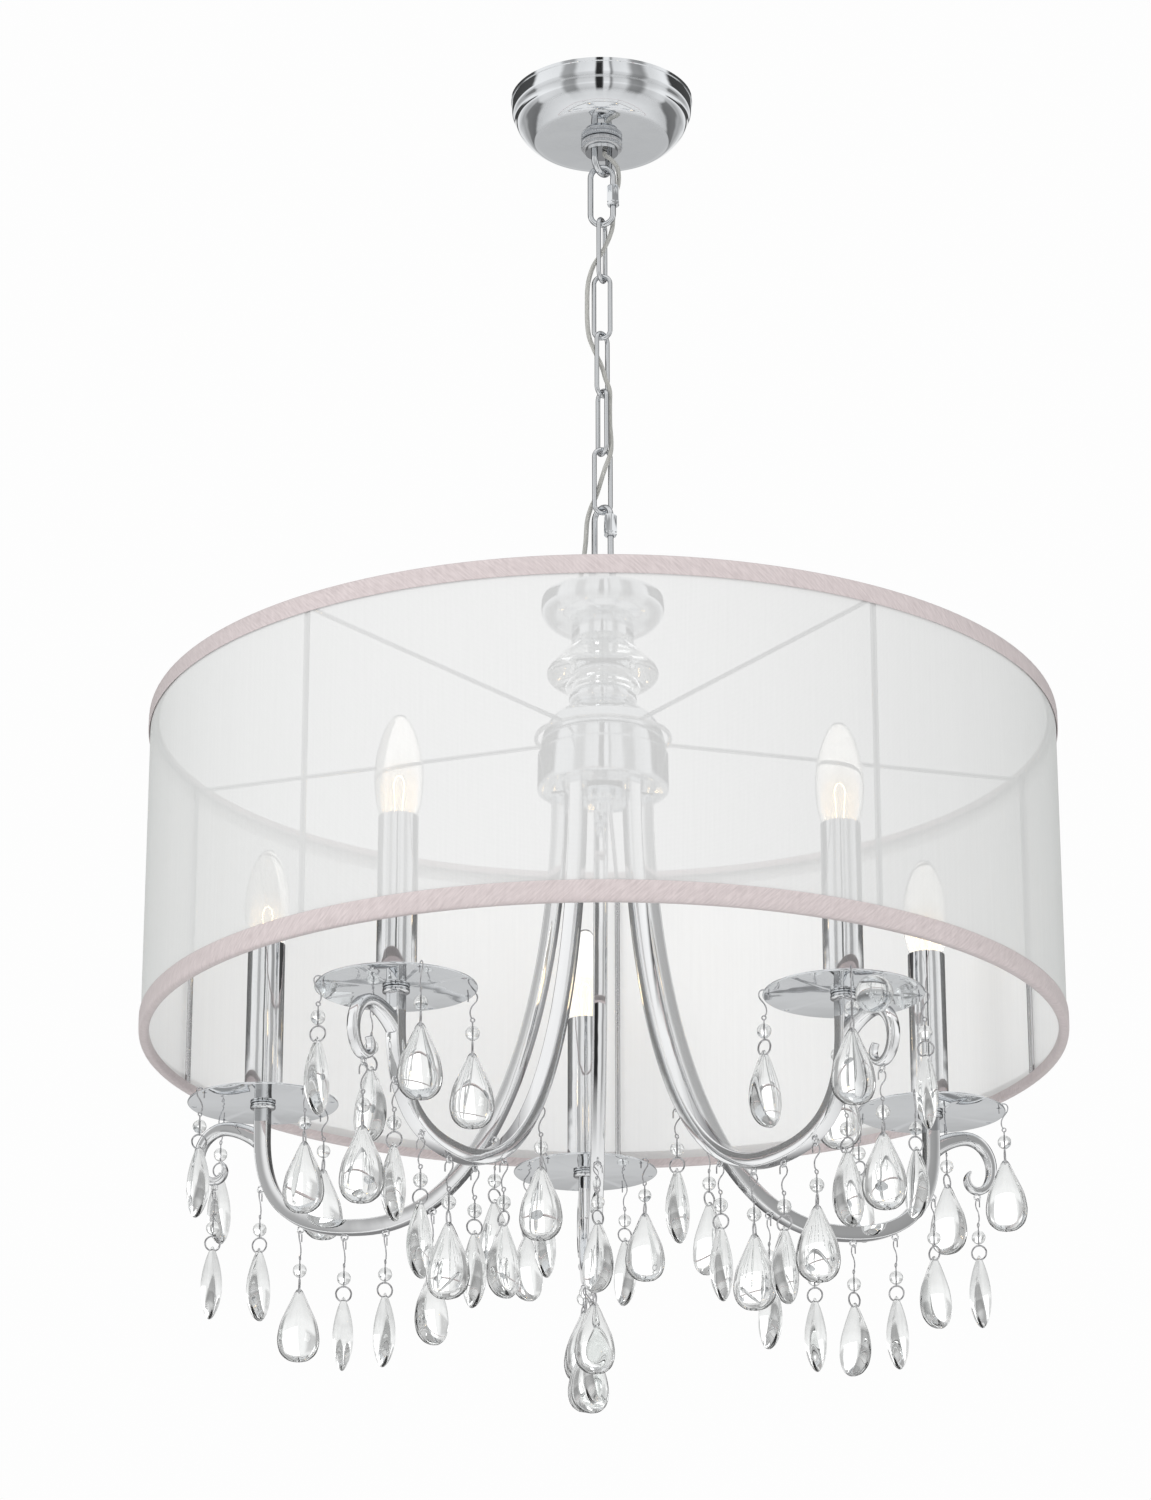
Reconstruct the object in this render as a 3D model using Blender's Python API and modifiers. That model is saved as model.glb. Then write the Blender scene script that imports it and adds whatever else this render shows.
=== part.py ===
"""Drum chandelier: a sheer drum shade with bound edges, round a chrome column with five
curved arms, candle sleeves and glass drops, on a short chain from a ceiling canopy.

Metres, +Z up. The origin is on the ceiling, on the canopy's axis, and the part hangs
towards -Z. An azimuth is counted in degrees from -Y towards +X, and an arm's own frame
has X outwards, Y across and Z up.
"""

import math

import bmesh
import bpy
from mathutils import Matrix, Vector

# Clearances and joins
GAP = 0.0003
SEAT = 0.0006
OVERRUN = 0.003
WELD = 0.000002

# Ceiling bracket
BRACKET_LENGTH = 0.098
BRACKET_WIDTH = 0.020
BRACKET_THICKNESS = 0.0018
BRACKET_HOLE_SPACING = 0.070
BRACKET_HOLE_RADIUS = 0.0026

# Canopy, its collar and its loop
CANOPY_RADIUS = 0.0642
CANOPY_HEIGHT = 0.0330
CANOPY_WALL = 0.0010
CANOPY_STEPS = 22
CANOPY_PROFILE_SHARES = (
    (1.0, 0.0),
    (1.0, 0.08),
    (0.955, 0.26),
    (0.885, 0.40),
    (0.868, 0.46),
    (0.835, 0.66),
    (0.742, 0.86),
    (0.717, 0.93),
    (0.450, 0.98),
)
COLLAR_RADIUS = 0.0145
COLLAR_HEIGHT = 0.0062
COLLAR_CHAMFER = 0.0008
STUD_RADIUS = 0.0048
BOSS_RADIUS = 0.0116
BOSS_HEIGHT = 0.0024
LOOP_HALF_WIDTH = 0.0090
LOOP_WIRE = 0.0024
LOOP_DROP = 0.0158
LOOP_YAW = 56.0

# Quick links, one at each end of the chain
QUICK_LENGTH = 0.0490
QUICK_WIDTH = 0.0200
QUICK_WIRE = 0.0020
SLEEVE_NUT_LENGTH = 0.0156
SLEEVE_NUT_FLATS = 0.0080
QUICK_UPPER_YAW = -8.0
QUICK_UPPER_NUT = -0.0005
QUICK_UPPER_GAP = (-0.0075, -0.0015)
QUICK_LOWER_YAW = -47.0
QUICK_LOWER_NUT = 0.0065
QUICK_LOWER_GAP = (0.0062, 0.0122)

# Chain links
LINK_LENGTH = 0.0508
LINK_WIDTH = 0.0146
LINK_WIRE = 0.0016
LINK_YAWS = (67.0, -10.0, 50.0, -59.0, 16.0)
LINK_END_STEPS = 6

# Supply cord, woven through the chain from the canopy's loop to the column's dish
CORD_RADIUS = 0.0016
CORD_STEP = 0.0085
CORD_START = (0.0022, -0.0026)
CORD_END = (-0.0170, 0.0000)
CORD_ROUTE = (
    (0.0022, -0.0026, -0.0448),
    (0.0068, -0.0044, -0.0495),
    (0.0112, -0.0008, -0.0545),
    (0.0118, 0.0052, -0.0630),
    (0.0086, 0.0074, -0.0760),
    (0.0080, 0.0066, -0.0890),
    (0.0070, 0.0044, -0.1000),
    (0.0036, 0.0006, -0.1120),
    (-0.0010, -0.0006, -0.1220),
    (-0.0062, -0.0014, -0.1315),
    (-0.0098, -0.0008, -0.1450),
    (-0.0104, 0.0000, -0.1620),
    (-0.0101, 0.0008, -0.1760),
    (-0.0088, 0.0018, -0.1850),
    (-0.0060, 0.0030, -0.1925),
    (-0.0030, 0.0022, -0.2000),
    (0.0000, 0.0000, -0.2085),
    (0.0022, -0.0016, -0.2175),
    (0.0051, -0.0010, -0.2265),
    (0.0052, -0.0005, -0.2380),
    (0.0053, -0.0007, -0.2520),
    (0.0061, -0.0020, -0.2650),
    (0.0055, -0.0031, -0.2752),
    (0.0020, -0.0020, -0.2850),
    (-0.0008, 0.0004, -0.2935),
    (-0.0040, 0.0030, -0.3035),
    (-0.0082, 0.0042, -0.3135),
    (-0.0106, 0.0036, -0.3240),
    (-0.0116, 0.0026, -0.3400),
    (-0.0140, 0.0010, -0.3600),
    (-0.0168, 0.0000, -0.3760),
    (-0.0170, 0.0000, -0.3850),
)

# Column, from its loop down
COLUMN_LOOP_HALF_WIDTH = 0.0080
COLUMN_LOOP_WIRE = 0.0022
COLUMN_LOOP_HEIGHT = 0.0264
COLUMN_LOOP_YAW = 30.0
COLUMN_NUT_RADIUS = 0.0110
COLUMN_NUT_HEIGHT = 0.0080
COLUMN_STEPS = 22
DISH_RADIUS = 0.0420
DISH_LIP = 0.0018
DISH_BAND = 0.0133
DISH_FLOOR_DEPTH = 0.0095
DISH_BOWL_HEIGHT = 0.0105
DISH_HOLLOW_SHARES = ((0.70, 1.0), (0.95, 0.6))
NECK_RADIUS = 0.0213
NECK_HEIGHT = 0.0085
GLASS_RADIUS = 0.0378
GLASS_HEIGHT = 0.0350
GLASS_WALL = 0.0045
GLASS_OUTER_SHARES = (
    (0.53, 0.0),
    (0.63, 0.17),
    (0.82, 0.46),
    (0.965, 0.66),
    (1.0, 0.84),
    (0.93, 1.0),
)
GLASS_INNER_SHARES = ((0.97, 0.94), (0.88, 0.58))
GLASS_THROAT_SHARE = 0.22
TUBE_RADIUS = 0.0097
RING_RADIUS = 0.0230
RING_HEIGHT = 0.0132
HUB_RADIUS = 0.0443
HUB_TOP_RADIUS = 0.0200
HUB_DOME_HEIGHT = 0.0295
HUB_BAND_HEIGHT = 0.0288
HUB_CHAMFER = 0.0010
HUB_POCKET_DEPTH = 0.0080
NUT_RADIUS = 0.0154
NUT_HEIGHT = 0.0090
NUT_STEM_RADIUS = 0.0060
NUT_STEM_HEIGHT = 0.0065

# Shade: wire frame, fabric and bound edges
SHADE_RADIUS = 0.3048
SHADE_HEIGHT = 0.2243
SHADE_STEPS = 35
TRIM_WIDTH = 0.0130
TRIM_TUCK = 0.0032
TRIM_THICKNESS = 0.0007
FABRIC_THICKNESS = 0.0006
FRAME_WIRE = 0.0020
FRAME_WIRE_SIDES = 4
RIB_WIRE = 0.0018
RIB_INSET = 0.0005
RIB_COUNT = 5
RIB_PHASE = -2.3
SPIDER_WIRE = 0.0015
SPIDER_SEAT_SHARE = 0.82
SPIDER_DROP = 0.0078
SPIDER_RISE_RUN = 0.0180
SPIDER_END_DROP = 0.0052

# Arms
ARM_COUNT = 5
ARM_PHASE = 2.8
ARM_SIDE = 0.0095
ARM_TOP_RADIUS = 0.0300
ARM_LOW_RADIUS = 0.1636
ARM_DROP = 0.2894
ARM_RISE = 0.0684
ARM_TOP_PULL = 0.1260
ARM_INNER_PULL = 0.0980
ARM_OUTER_PULL = 0.0430
ARM_RISE_PULL = 0.0540
ARM_INNER_STEPS = 9
ARM_OUTER_STEPS = 7
CANDLE_RADIUS = 0.2355
DISC_HEIGHT = 0.0891
TUBE_NUT_RADIUS = 0.0085
TUBE_NUT_HEIGHT = 0.0030
EYE_RADIUS = 0.0022
EYE_WIRE = 0.0006
EYE_SINK = 0.0004
EYE_SIDES = 6
EYE_PLACE = 0.1780

# Scroll beside each candle: extreme points as (outwards from the tube's axis, below the disc's underside)
SCROLL_THICKNESS = 0.0032
SCROLL_ROOT = (0.0020, 0.0245)
SCROLL_TOP = (0.0265, 0.0152)
SCROLL_OUTER = (0.0440, 0.0350)
SCROLL_BOTTOM = (0.0330, 0.0508)
SCROLL_INNER = (0.0255, 0.0435)
SCROLL_TIP = (0.0280, 0.0380)
SCROLL_ROOT_WIDTH = 0.0125
SCROLL_TOP_WIDTH = 0.0082
SCROLL_OUTER_WIDTH = 0.0062
SCROLL_BOTTOM_WIDTH = 0.0044
SCROLL_INNER_WIDTH = 0.0030
SCROLL_TIP_WIDTH = 0.0012
SCROLL_QUARTER_STEPS = 3

# Drip discs, candle sleeves and bulbs
DISC_RADIUS = 0.0505
DISC_THICKNESS = 0.0014
DISC_STEPS = 20
DISC_HOLE_COUNT = 8
DISC_HOLE_PHASE = 8.0
DISC_HOLE_RADIUS = 0.0017
DISC_HOLE_CENTRE = 0.0468
DISC_STRAND_HOLE = 1
CANDLE_SLEEVE_RADIUS = 0.0127
CANDLE_SLEEVE_HEIGHT = 0.1100
CANDLE_SLEEVE_WALL = 0.0010
SOCKET_DEPTH = 0.0280
CANDLE_STEPS = 10
BULB_RADIUS = 0.0155
BULB_HEIGHT = 0.0680
BULB_BASE_RADIUS = 0.0060
BULB_BASE_LENGTH = 0.0200
BULB_PROFILE_SHARES = (
    (0.0, 1.0),
    (0.16, 0.94),
    (0.50, 0.78),
    (0.87, 0.54),
    (1.0, 0.36),
    (0.86, 0.16),
    (0.52, -0.02),
)

# Glass strands: hook, bead, ring and drop
HOOK_WIRE = 0.00045
HOOK_RADIUS = 0.0030
HOOK_LENGTH = 0.0158
HOOK_TAIL = 0.0036
HOOK_STEPS = 4
PIN_LENGTH = 0.0049
BEAD_RADIUS = 0.0046
BEAD_STEPS = 6
BEAD_ROWS = 4
LOWER_PIN_LENGTH = 0.0016
RING_WIRE = 0.0006
RING_SIDES = 6
DROP_RING_RADIUS = 0.0050
DROP_RING_OVERLAP = 0.0032
DROP_LENGTH = 0.0490
DROP_WIDTH = 0.0276
DROP_THICKNESS = 0.0138
DROP_STEPS = 8
DROP_PROFILE_SHARES = (
    (0.12, 0.01),
    (0.46, 0.20),
    (0.88, 0.47),
    (1.0, 0.68),
    (0.66, 0.93),
)
ARM_STRAND_TWIST = 20.0
DISC_STRAND_TWIST = 75.0

# Strands that don't swing, in the solids of their arm and their disc
PLAIN_WIRE = 0.0005
PLAIN_ROOT = 0.0010
PLAIN_PLACES = (
    (0.2375, -0.2616),
    (0.2090, -0.2890),
    (0.1463, -0.2953),
    (0.1144, -0.2813),
    (0.0690, -0.2418),
)
PLAIN_EYE_TWISTS = (60.0, 20.0, 75.0, 5.0, 50.0)
PLAIN_SCROLL_TWIST = 35.0
PLAIN_HOLES = (3, 5, 7)
PLAIN_HOLE_TWIST = 40.0
PLAIN_DISC_RADIUS = 0.0494
PLAIN_BEAD_ROWS = 3
PLAIN_DROP_STEPS = 6
PLAIN_DROP_SHARES = ((0.32, 0.10), (0.88, 0.47), (1.0, 0.68), (0.66, 0.93))

# Worked out from the sizes above
COLLAR_TOP = -CANOPY_HEIGHT - GAP
BOSS_TOP = COLLAR_TOP - COLLAR_HEIGHT - GAP
BOSS_BOTTOM = BOSS_TOP - BOSS_HEIGHT
LOOP_BAR = BOSS_BOTTOM - LOOP_DROP
FRAME_RING_RADIUS = SHADE_RADIUS - TRIM_THICKNESS - FABRIC_THICKNESS - 2 * GAP - FRAME_WIRE

CHROME = ("chrome", (0.80, 0.81, 0.83), 0.12, 1.0)
STEEL = ("zinc_steel", (0.62, 0.63, 0.65), 0.38, 1.0)
WIRE = ("satin_wire", (0.72, 0.72, 0.72), 0.30, 1.0)
GLASS = ("clear_glass", (0.95, 0.96, 0.95), 0.03, 0.0)
BULB = ("bulb_glass", (0.97, 0.96, 0.92), 0.02, 0.0)
ORGANZA = ("organza", (0.90, 0.91, 0.91), 0.75, 0.0)
SILK = ("silk_trim", (0.78, 0.70, 0.68), 0.65, 0.0)
CORD = ("clear_cord", (0.70, 0.70, 0.67), 0.35, 0.0)

places = {}


def clear_scene():
    for obj in list(bpy.data.objects):
        bpy.data.objects.remove(obj, do_unlink=True)


def collection(name):
    made = bpy.data.collections.new(name)
    bpy.context.scene.collection.children.link(made)
    return made


def material(look):
    name, colour, roughness, metallic = look
    found = bpy.data.materials.get(name)
    if found:
        return found
    made = bpy.data.materials.new(name)
    made.use_nodes = True
    shader = made.node_tree.nodes["Principled BSDF"]
    shader.inputs["Base Color"].default_value = (*colour, 1.0)
    shader.inputs["Roughness"].default_value = roughness
    shader.inputs["Metallic"].default_value = metallic
    return made


def anchor(name, parent, place):
    """An empty at a joint, or at a group's seat. No anchor is turned, so places add up."""
    made = bpy.data.objects.new(name, None)
    parts.objects.link(made)
    places[name] = Vector(place)
    made.parent = parent
    made.location = places[name] - (places[parent.name] if parent else Vector())
    return made


def piece(name, mesh, look, parent, place, yaw=0.0):
    """A part's object with its origin at the given place, turned about Z."""
    made = bpy.data.objects.new(name, mesh)
    parts.objects.link(made)
    if not mesh.materials:
        mesh.materials.append(material(look))
        mesh.shade_smooth()
        mesh.set_sharp_from_angle(angle=math.radians(35.0))
    made.parent = parent
    made.location = Vector(place) - places[parent.name]
    made.rotation_euler.z = math.radians(yaw)
    return made


def azimuth_yaw(azimuth):
    """The turn about Z that brings +X to the azimuth."""
    return azimuth - 90.0


def arm_azimuth(index):
    return ARM_PHASE + 360.0 * (index + 0.5) / ARM_COUNT


def outwards(azimuth):
    angle = math.radians(azimuth)
    return Vector((math.sin(angle), -math.cos(angle), 0.0))


def taken(obj):
    """The object's evaluated mesh in its parent's frame, welded and facing out. The object is removed."""
    bpy.context.view_layer.update()
    graph = bpy.context.evaluated_depsgraph_get()
    mesh = bpy.data.meshes.new_from_object(obj.evaluated_get(graph))
    mesh.transform(obj.matrix_basis)
    shell = bmesh.new()
    shell.from_mesh(mesh)
    bmesh.ops.remove_doubles(shell, verts=shell.verts, dist=WELD)
    bmesh.ops.recalc_face_normals(shell, faces=shell.faces)
    shell.to_mesh(mesh)
    shell.free()
    mesh.materials.clear()
    bpy.data.objects.remove(obj, do_unlink=True)
    return mesh


def helper(name, data):
    made = bpy.data.objects.new(name, data)
    cutters.objects.link(made)
    made.hide_render = True
    made.display_type = "WIRE"
    return made


def turned(profile, steps, closed=False):
    """A profile of (radius, height) points turned about Z. It runs down its outer side."""
    mesh = bpy.data.meshes.new("turned")
    count = len(profile)
    edges = [(i, i + 1) for i in range(count - 1)]
    if closed:
        edges.append((count - 1, 0))
    mesh.from_pydata([(radius, 0.0, height) for radius, height in profile], edges, [])
    made = helper("turned", mesh)
    screw = made.modifiers.new("Turn", "SCREW")
    screw.axis = "Z"
    screw.steps = steps
    screw.render_steps = steps
    screw.use_merge_vertices = True
    screw.merge_threshold = WELD
    return made


def turned_mesh(profile, steps, closed=False):
    return taken(turned(profile, steps, closed))


def tube_mesh(points, radius, resolution=1, cyclic=False):
    """A round wire along points, with filled ends."""
    curve = bpy.data.curves.new("wire", "CURVE")
    curve.dimensions = "3D"
    curve.bevel_depth = radius
    curve.bevel_resolution = resolution
    curve.use_fill_caps = not cyclic
    spline = curve.splines.new("POLY")
    spline.points.add(len(points) - 1)
    for point, place in zip(spline.points, points):
        point.co = (*place, 1.0)
    spline.use_cyclic_u = cyclic
    return taken(helper("wire", curve))


def plate_mesh(outline, thickness):
    """A flat outline of (outwards, up) points, standing in the XZ plane and centred across it."""
    curve = bpy.data.curves.new("plate", "CURVE")
    curve.dimensions = "2D"
    curve.fill_mode = "BOTH"
    curve.extrude = thickness / 2
    spline = curve.splines.new("POLY")
    spline.points.add(len(outline) - 1)
    for point, (x, z) in zip(spline.points, outline):
        point.co = (x, z, 0.0, 1.0)
    spline.use_cyclic_u = True
    made = helper("plate", curve)
    made.rotation_euler.x = math.radians(90.0)
    return taken(made)


def rod_mesh(radius, start, end, sides):
    """A cylinder between two points."""
    start, end = Vector(start), Vector(end)
    shell = bmesh.new()
    run = end - start
    bmesh.ops.create_cone(
        shell, cap_ends=True, segments=sides, radius1=radius, radius2=radius, depth=run.length
    )
    turn = run.to_track_quat("Z", "Y").to_matrix().to_4x4()
    bmesh.ops.transform(shell, matrix=Matrix.Translation((start + end) / 2) @ turn, verts=shell.verts)
    mesh = bpy.data.meshes.new("rod")
    shell.to_mesh(mesh)
    shell.free()
    return mesh


def box_mesh(size, centre):
    shell = bmesh.new()
    place = Matrix.Translation(centre) @ Matrix.Diagonal((*size, 1.0))
    bmesh.ops.create_cube(shell, size=1.0, matrix=place)
    mesh = bpy.data.meshes.new("box")
    shell.to_mesh(mesh)
    shell.free()
    return mesh


def eye_mesh(centre, away):
    """A wire eye in the arm's plane, with its hole running across and a corner towards away."""
    side = away.cross(Vector((0.0, 1.0, 0.0)))
    angles = [2 * math.pi * i / EYE_SIDES for i in range(EYE_SIDES)]
    points = [centre + EYE_RADIUS * (math.cos(a) * away + math.sin(a) * side) for a in angles]
    return tube_mesh(points, EYE_WIRE, 0, cyclic=True)


def combined(meshes, operation="UNION"):
    """The first mesh joined with, or cut by, each of the others."""
    base = helper("base", meshes[0])
    others = []
    for mesh in meshes[1:]:
        other = helper("other", mesh)
        boolean = base.modifiers.new("Join", "BOOLEAN")
        boolean.operation = operation
        boolean.solver = "EXACT"
        boolean.object = other
        others.append(other)
    made = taken(base)
    for other in others:
        bpy.data.objects.remove(other, do_unlink=True)
    return made


def moved(mesh, matrix):
    mesh.transform(matrix)
    return mesh


def spun(mesh, degrees):
    return moved(mesh, Matrix.Rotation(math.radians(degrees), 4, "Z"))


def bezier(start, pull, push, end, steps):
    """Points of a cubic curve from start to end, with its first point left out."""
    found = []
    for i in range(1, steps + 1):
        t = i / steps
        rest = 1.0 - t
        weights = (rest**3, 3 * t * rest**2, 3 * t**2 * rest, t**3)
        found.append(
            tuple(sum(w * p[k] for w, p in zip(weights, (start, pull, push, end))) for k in range(2))
        )
    return found


def quarter(start, end, rises_first, steps):
    """A quarter of an ellipse from start to end, with its first point left out. It leaves start upright where
    rises_first is set, and level where it isn't."""
    found = []
    for i in range(1, steps + 1):
        angle = math.pi / 2 * i / steps
        level, upright = 1 - math.cos(angle), math.sin(angle)
        if not rises_first:
            level, upright = upright, level
        found.append((start[0] + (end[0] - start[0]) * level, start[1] + (end[1] - start[1]) * upright))
    return found


def ribbon(path, widths):
    """The outline of a strip of the given widths, centred on a path of (outwards, up) points."""
    left, right = [], []
    for i, (point, width) in enumerate(zip(path, widths)):
        before, after = path[max(i - 1, 0)], path[min(i + 1, len(path) - 1)]
        run = Vector((after[0] - before[0], after[1] - before[1])).normalized()
        offset = Vector((-run.y, run.x)) * width / 2
        left.append((point[0] + offset.x, point[1] + offset.y))
        right.append((point[0] - offset.x, point[1] - offset.y))
    return left + right[::-1]


def smooth_route(route, step):
    """Points about one step apart on a Catmull-Rom curve through the route."""
    nodes = [Vector(p) for p in route]
    nodes = [2 * nodes[0] - nodes[1]] + nodes + [2 * nodes[-1] - nodes[-2]]
    found = [nodes[1]]
    for a, b, c, d in zip(nodes, nodes[1:], nodes[2:], nodes[3:]):
        count = max(1, round((c - b).length / step))
        for i in range(1, count + 1):
            t = i / count
            found.append(
                0.5
                * (
                    2 * b
                    + (c - a) * t
                    + (2 * a - 5 * b + 4 * c - d) * t**2
                    + (3 * b - a - 3 * c + d) * t**3
                )
            )
    return found


def bracket():
    bar = box_mesh(
        (BRACKET_LENGTH, BRACKET_WIDTH, BRACKET_THICKNESS), (0.0, 0.0, -BRACKET_THICKNESS / 2)
    )
    low = -BRACKET_THICKNESS - OVERRUN
    holes = [rod_mesh(STUD_RADIUS + GAP, (0.0, 0.0, low), (0.0, 0.0, OVERRUN), 12)]
    for side in (-1, 1):
        x = side * BRACKET_HOLE_SPACING / 2
        holes.append(rod_mesh(BRACKET_HOLE_RADIUS, (x, 0.0, low), (x, 0.0, OVERRUN), 8))
    mesh = combined([bar, *holes], "DIFFERENCE")
    piece("ceiling_bracket", mesh, STEEL, root, (0.0, 0.0, 0.0), LOOP_YAW)


def canopy():
    profile = [(r * CANOPY_RADIUS, -z * CANOPY_HEIGHT) for r, z in CANOPY_PROFILE_SHARES]
    profile.append((STUD_RADIUS + GAP, -CANOPY_HEIGHT))
    shell = turned(profile, CANOPY_STEPS)
    wall = shell.modifiers.new("Wall", "SOLIDIFY")
    wall.thickness = CANOPY_WALL
    wall.offset = -1.0
    piece("canopy", taken(shell), CHROME, root, (0.0, 0.0, 0.0))
    bore = STUD_RADIUS + GAP
    ring = (
        (COLLAR_RADIUS - COLLAR_CHAMFER, 0.0),
        (COLLAR_RADIUS, -COLLAR_CHAMFER),
        (COLLAR_RADIUS, COLLAR_CHAMFER - COLLAR_HEIGHT),
        (COLLAR_RADIUS - COLLAR_CHAMFER, -COLLAR_HEIGHT),
        (bore, -COLLAR_HEIGHT),
        (bore, 0.0),
    )
    mesh = turned_mesh(ring, CANOPY_STEPS, closed=True)
    piece("canopy_collar", mesh, CHROME, root, (0.0, 0.0, COLLAR_TOP))


def loop_points(half_width, leg, sign):
    """A U of (x, 0, z) points: its bar is at the origin and its legs run towards sign Z."""
    points = [(-half_width, 0.0, sign * leg)]
    for i in range(LINK_END_STEPS + 1):
        angle = math.pi * i / LINK_END_STEPS
        points.append((-half_width * math.cos(angle), 0.0, sign * half_width * (1 - math.sin(angle))))
    points.append((half_width, 0.0, sign * leg))
    return points


def canopy_loop():
    stud_top = -GAP - LOOP_BAR
    boss_top, boss_bottom = BOSS_TOP - LOOP_BAR, BOSS_BOTTOM - LOOP_BAR
    stud = turned_mesh(
        (
            (0.0, stud_top),
            (STUD_RADIUS, stud_top),
            (STUD_RADIUS, boss_top),
            (BOSS_RADIUS, boss_top),
            (BOSS_RADIUS, boss_bottom),
            (0.0, boss_bottom),
        ),
        12,
    )
    wire = tube_mesh(loop_points(LOOP_HALF_WIDTH, boss_bottom + SEAT, 1), LOOP_WIRE)
    loop = combined([stud, wire])
    piece("canopy_loop", loop, CHROME, root, (0.0, 0.0, LOOP_BAR), LOOP_YAW)


def stadium(length, width, wire, top_bar):
    """The centre line of a long link as (x, 0, z) points, from the right-hand leg's lower end
    round the bottom and over the top. Its top bar's centre is at the given height. Returns the
    points and the link's mid-height."""
    radius = width / 2 - wire
    straight = length / 2 - wire - radius
    middle = top_bar - straight - radius
    points = []
    for sign in (-1, 1):
        for i in range(LINK_END_STEPS + 1):
            angle = math.pi * i / LINK_END_STEPS
            x = -sign * radius * math.cos(angle)
            points.append((x, 0.0, middle + sign * (straight + radius * math.sin(angle))))
    return points, middle


def hung_height(above, below):
    """How far the lower bar's centre lies above the upper one's. Each is (end radius, wire
    radius, yaw), and two round ends that don't cross squarely touch beside the crossing, so
    the height clears every pair of places."""
    clear = above[1] + below[1] + GAP
    turn = abs(math.cos(math.radians(above[2] - below[2])))
    best = clear
    steps = 40
    for i in range(steps + 1):
        a = math.pi / 2 * i / steps
        for j in range(steps + 1):
            b = math.pi / 2 * j / steps
            x, y = above[0] * math.sin(a), below[0] * math.sin(b)
            apart = clear**2 - (x * x + y * y - 2 * x * y * turn)
            if apart > 0.0:
                rise = above[0] * (1 - math.cos(a)) + below[0] * (1 - math.cos(b))
                best = max(best, rise + math.sqrt(apart))
    return best


def chain():
    """The quick links, their nuts and the chain links, each hung on the bar of the one above.
    Returns the lowest anchor, the height of its bar and the shape of its end."""
    parent, bar = root, LOOP_BAR
    above = (LOOP_HALF_WIDTH, LOOP_WIRE, LOOP_YAW)
    hanging = [("quick_link_upper", True, QUICK_UPPER_YAW)]
    hanging += [(f"chain_link_{i + 1}", False, yaw) for i, yaw in enumerate(LINK_YAWS)]
    hanging.append(("quick_link_lower", True, QUICK_LOWER_YAW))
    for name, quick, yaw in hanging:
        length, width, wire = (
            (QUICK_LENGTH, QUICK_WIDTH, QUICK_WIRE) if quick else (LINK_LENGTH, LINK_WIDTH, LINK_WIRE)
        )
        hook = anchor(f"{name}_hinge", parent, (0.0, 0.0, bar))
        here = (width / 2 - wire, wire, yaw)
        top_bar = hung_height(above, here)
        points, middle = stadium(length, width, wire, top_bar)
        if quick:
            mesh = quick_link_mesh(points, middle, name)
        else:
            mesh = tube_mesh(points, wire, cyclic=True)
        piece(name, mesh, CHROME, hook, (0.0, 0.0, bar), yaw)
        if quick:
            quick_nut(name, hook, middle, yaw)
        bar += top_bar - (length - 2 * wire)
        parent, above = hook, here
    return parent, bar, above


def quick_link_mesh(points, middle, name):
    """An open link: the wire starts below the gap in its right-hand leg and ends above it."""
    low, high = QUICK_UPPER_GAP if name == "quick_link_upper" else QUICK_LOWER_GAP
    x = QUICK_WIDTH / 2 - QUICK_WIRE
    path = [(x, 0.0, middle + low), *points, (x, 0.0, middle + high)]
    return tube_mesh(path, QUICK_WIRE)


def quick_nut(name, parent, middle, yaw):
    """The hexagonal nut that closes a quick link's gap. It slides along the leg to open it."""
    upper = name == "quick_link_upper"
    centre = QUICK_UPPER_NUT if upper else QUICK_LOWER_NUT
    half = SLEEVE_NUT_LENGTH / 2
    corner = SLEEVE_NUT_FLATS / 2 / math.cos(math.pi / 6)
    body = rod_mesh(corner, (0.0, 0.0, -half), (0.0, 0.0, half), 6)
    bore_radius = (QUICK_WIRE + GAP) / math.cos(math.pi / 8)
    bore = rod_mesh(bore_radius, (0.0, 0.0, -half - OVERRUN), (0.0, 0.0, half + OVERRUN), 8)
    mesh = combined([body, bore], "DIFFERENCE")
    leg = QUICK_WIDTH / 2 - QUICK_WIRE
    turn = math.radians(yaw)
    place = places[parent.name] + Vector((leg * math.cos(turn), leg * math.sin(turn), middle + centre))
    piece(name.replace("link", "nut"), mesh, CHROME, parent, place, yaw)


def column_levels(bar, end):
    """Heights of the column's seats, from the dish's rim down."""
    levels = {"dish": bar + column_bar(end) - COLUMN_LOOP_HEIGHT}
    levels["glass"] = levels["dish"] - DISH_BAND - DISH_BOWL_HEIGHT - NECK_HEIGHT - GAP
    levels["ring"] = levels["glass"] - GLASS_HEIGHT - GAP
    levels["hub"] = levels["ring"] - RING_HEIGHT - GAP
    levels["hub_bottom"] = levels["hub"] - HUB_DOME_HEIGHT - HUB_BAND_HEIGHT
    levels["disc"] = levels["hub_bottom"] - ARM_DROP + DISC_HEIGHT
    return levels


def column_bar(end):
    """How far the top of the column's loop lies above the bar that it hangs from."""
    return hung_height(end, (COLUMN_LOOP_HALF_WIDTH, COLUMN_LOOP_WIRE, COLUMN_LOOP_YAW))


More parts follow.
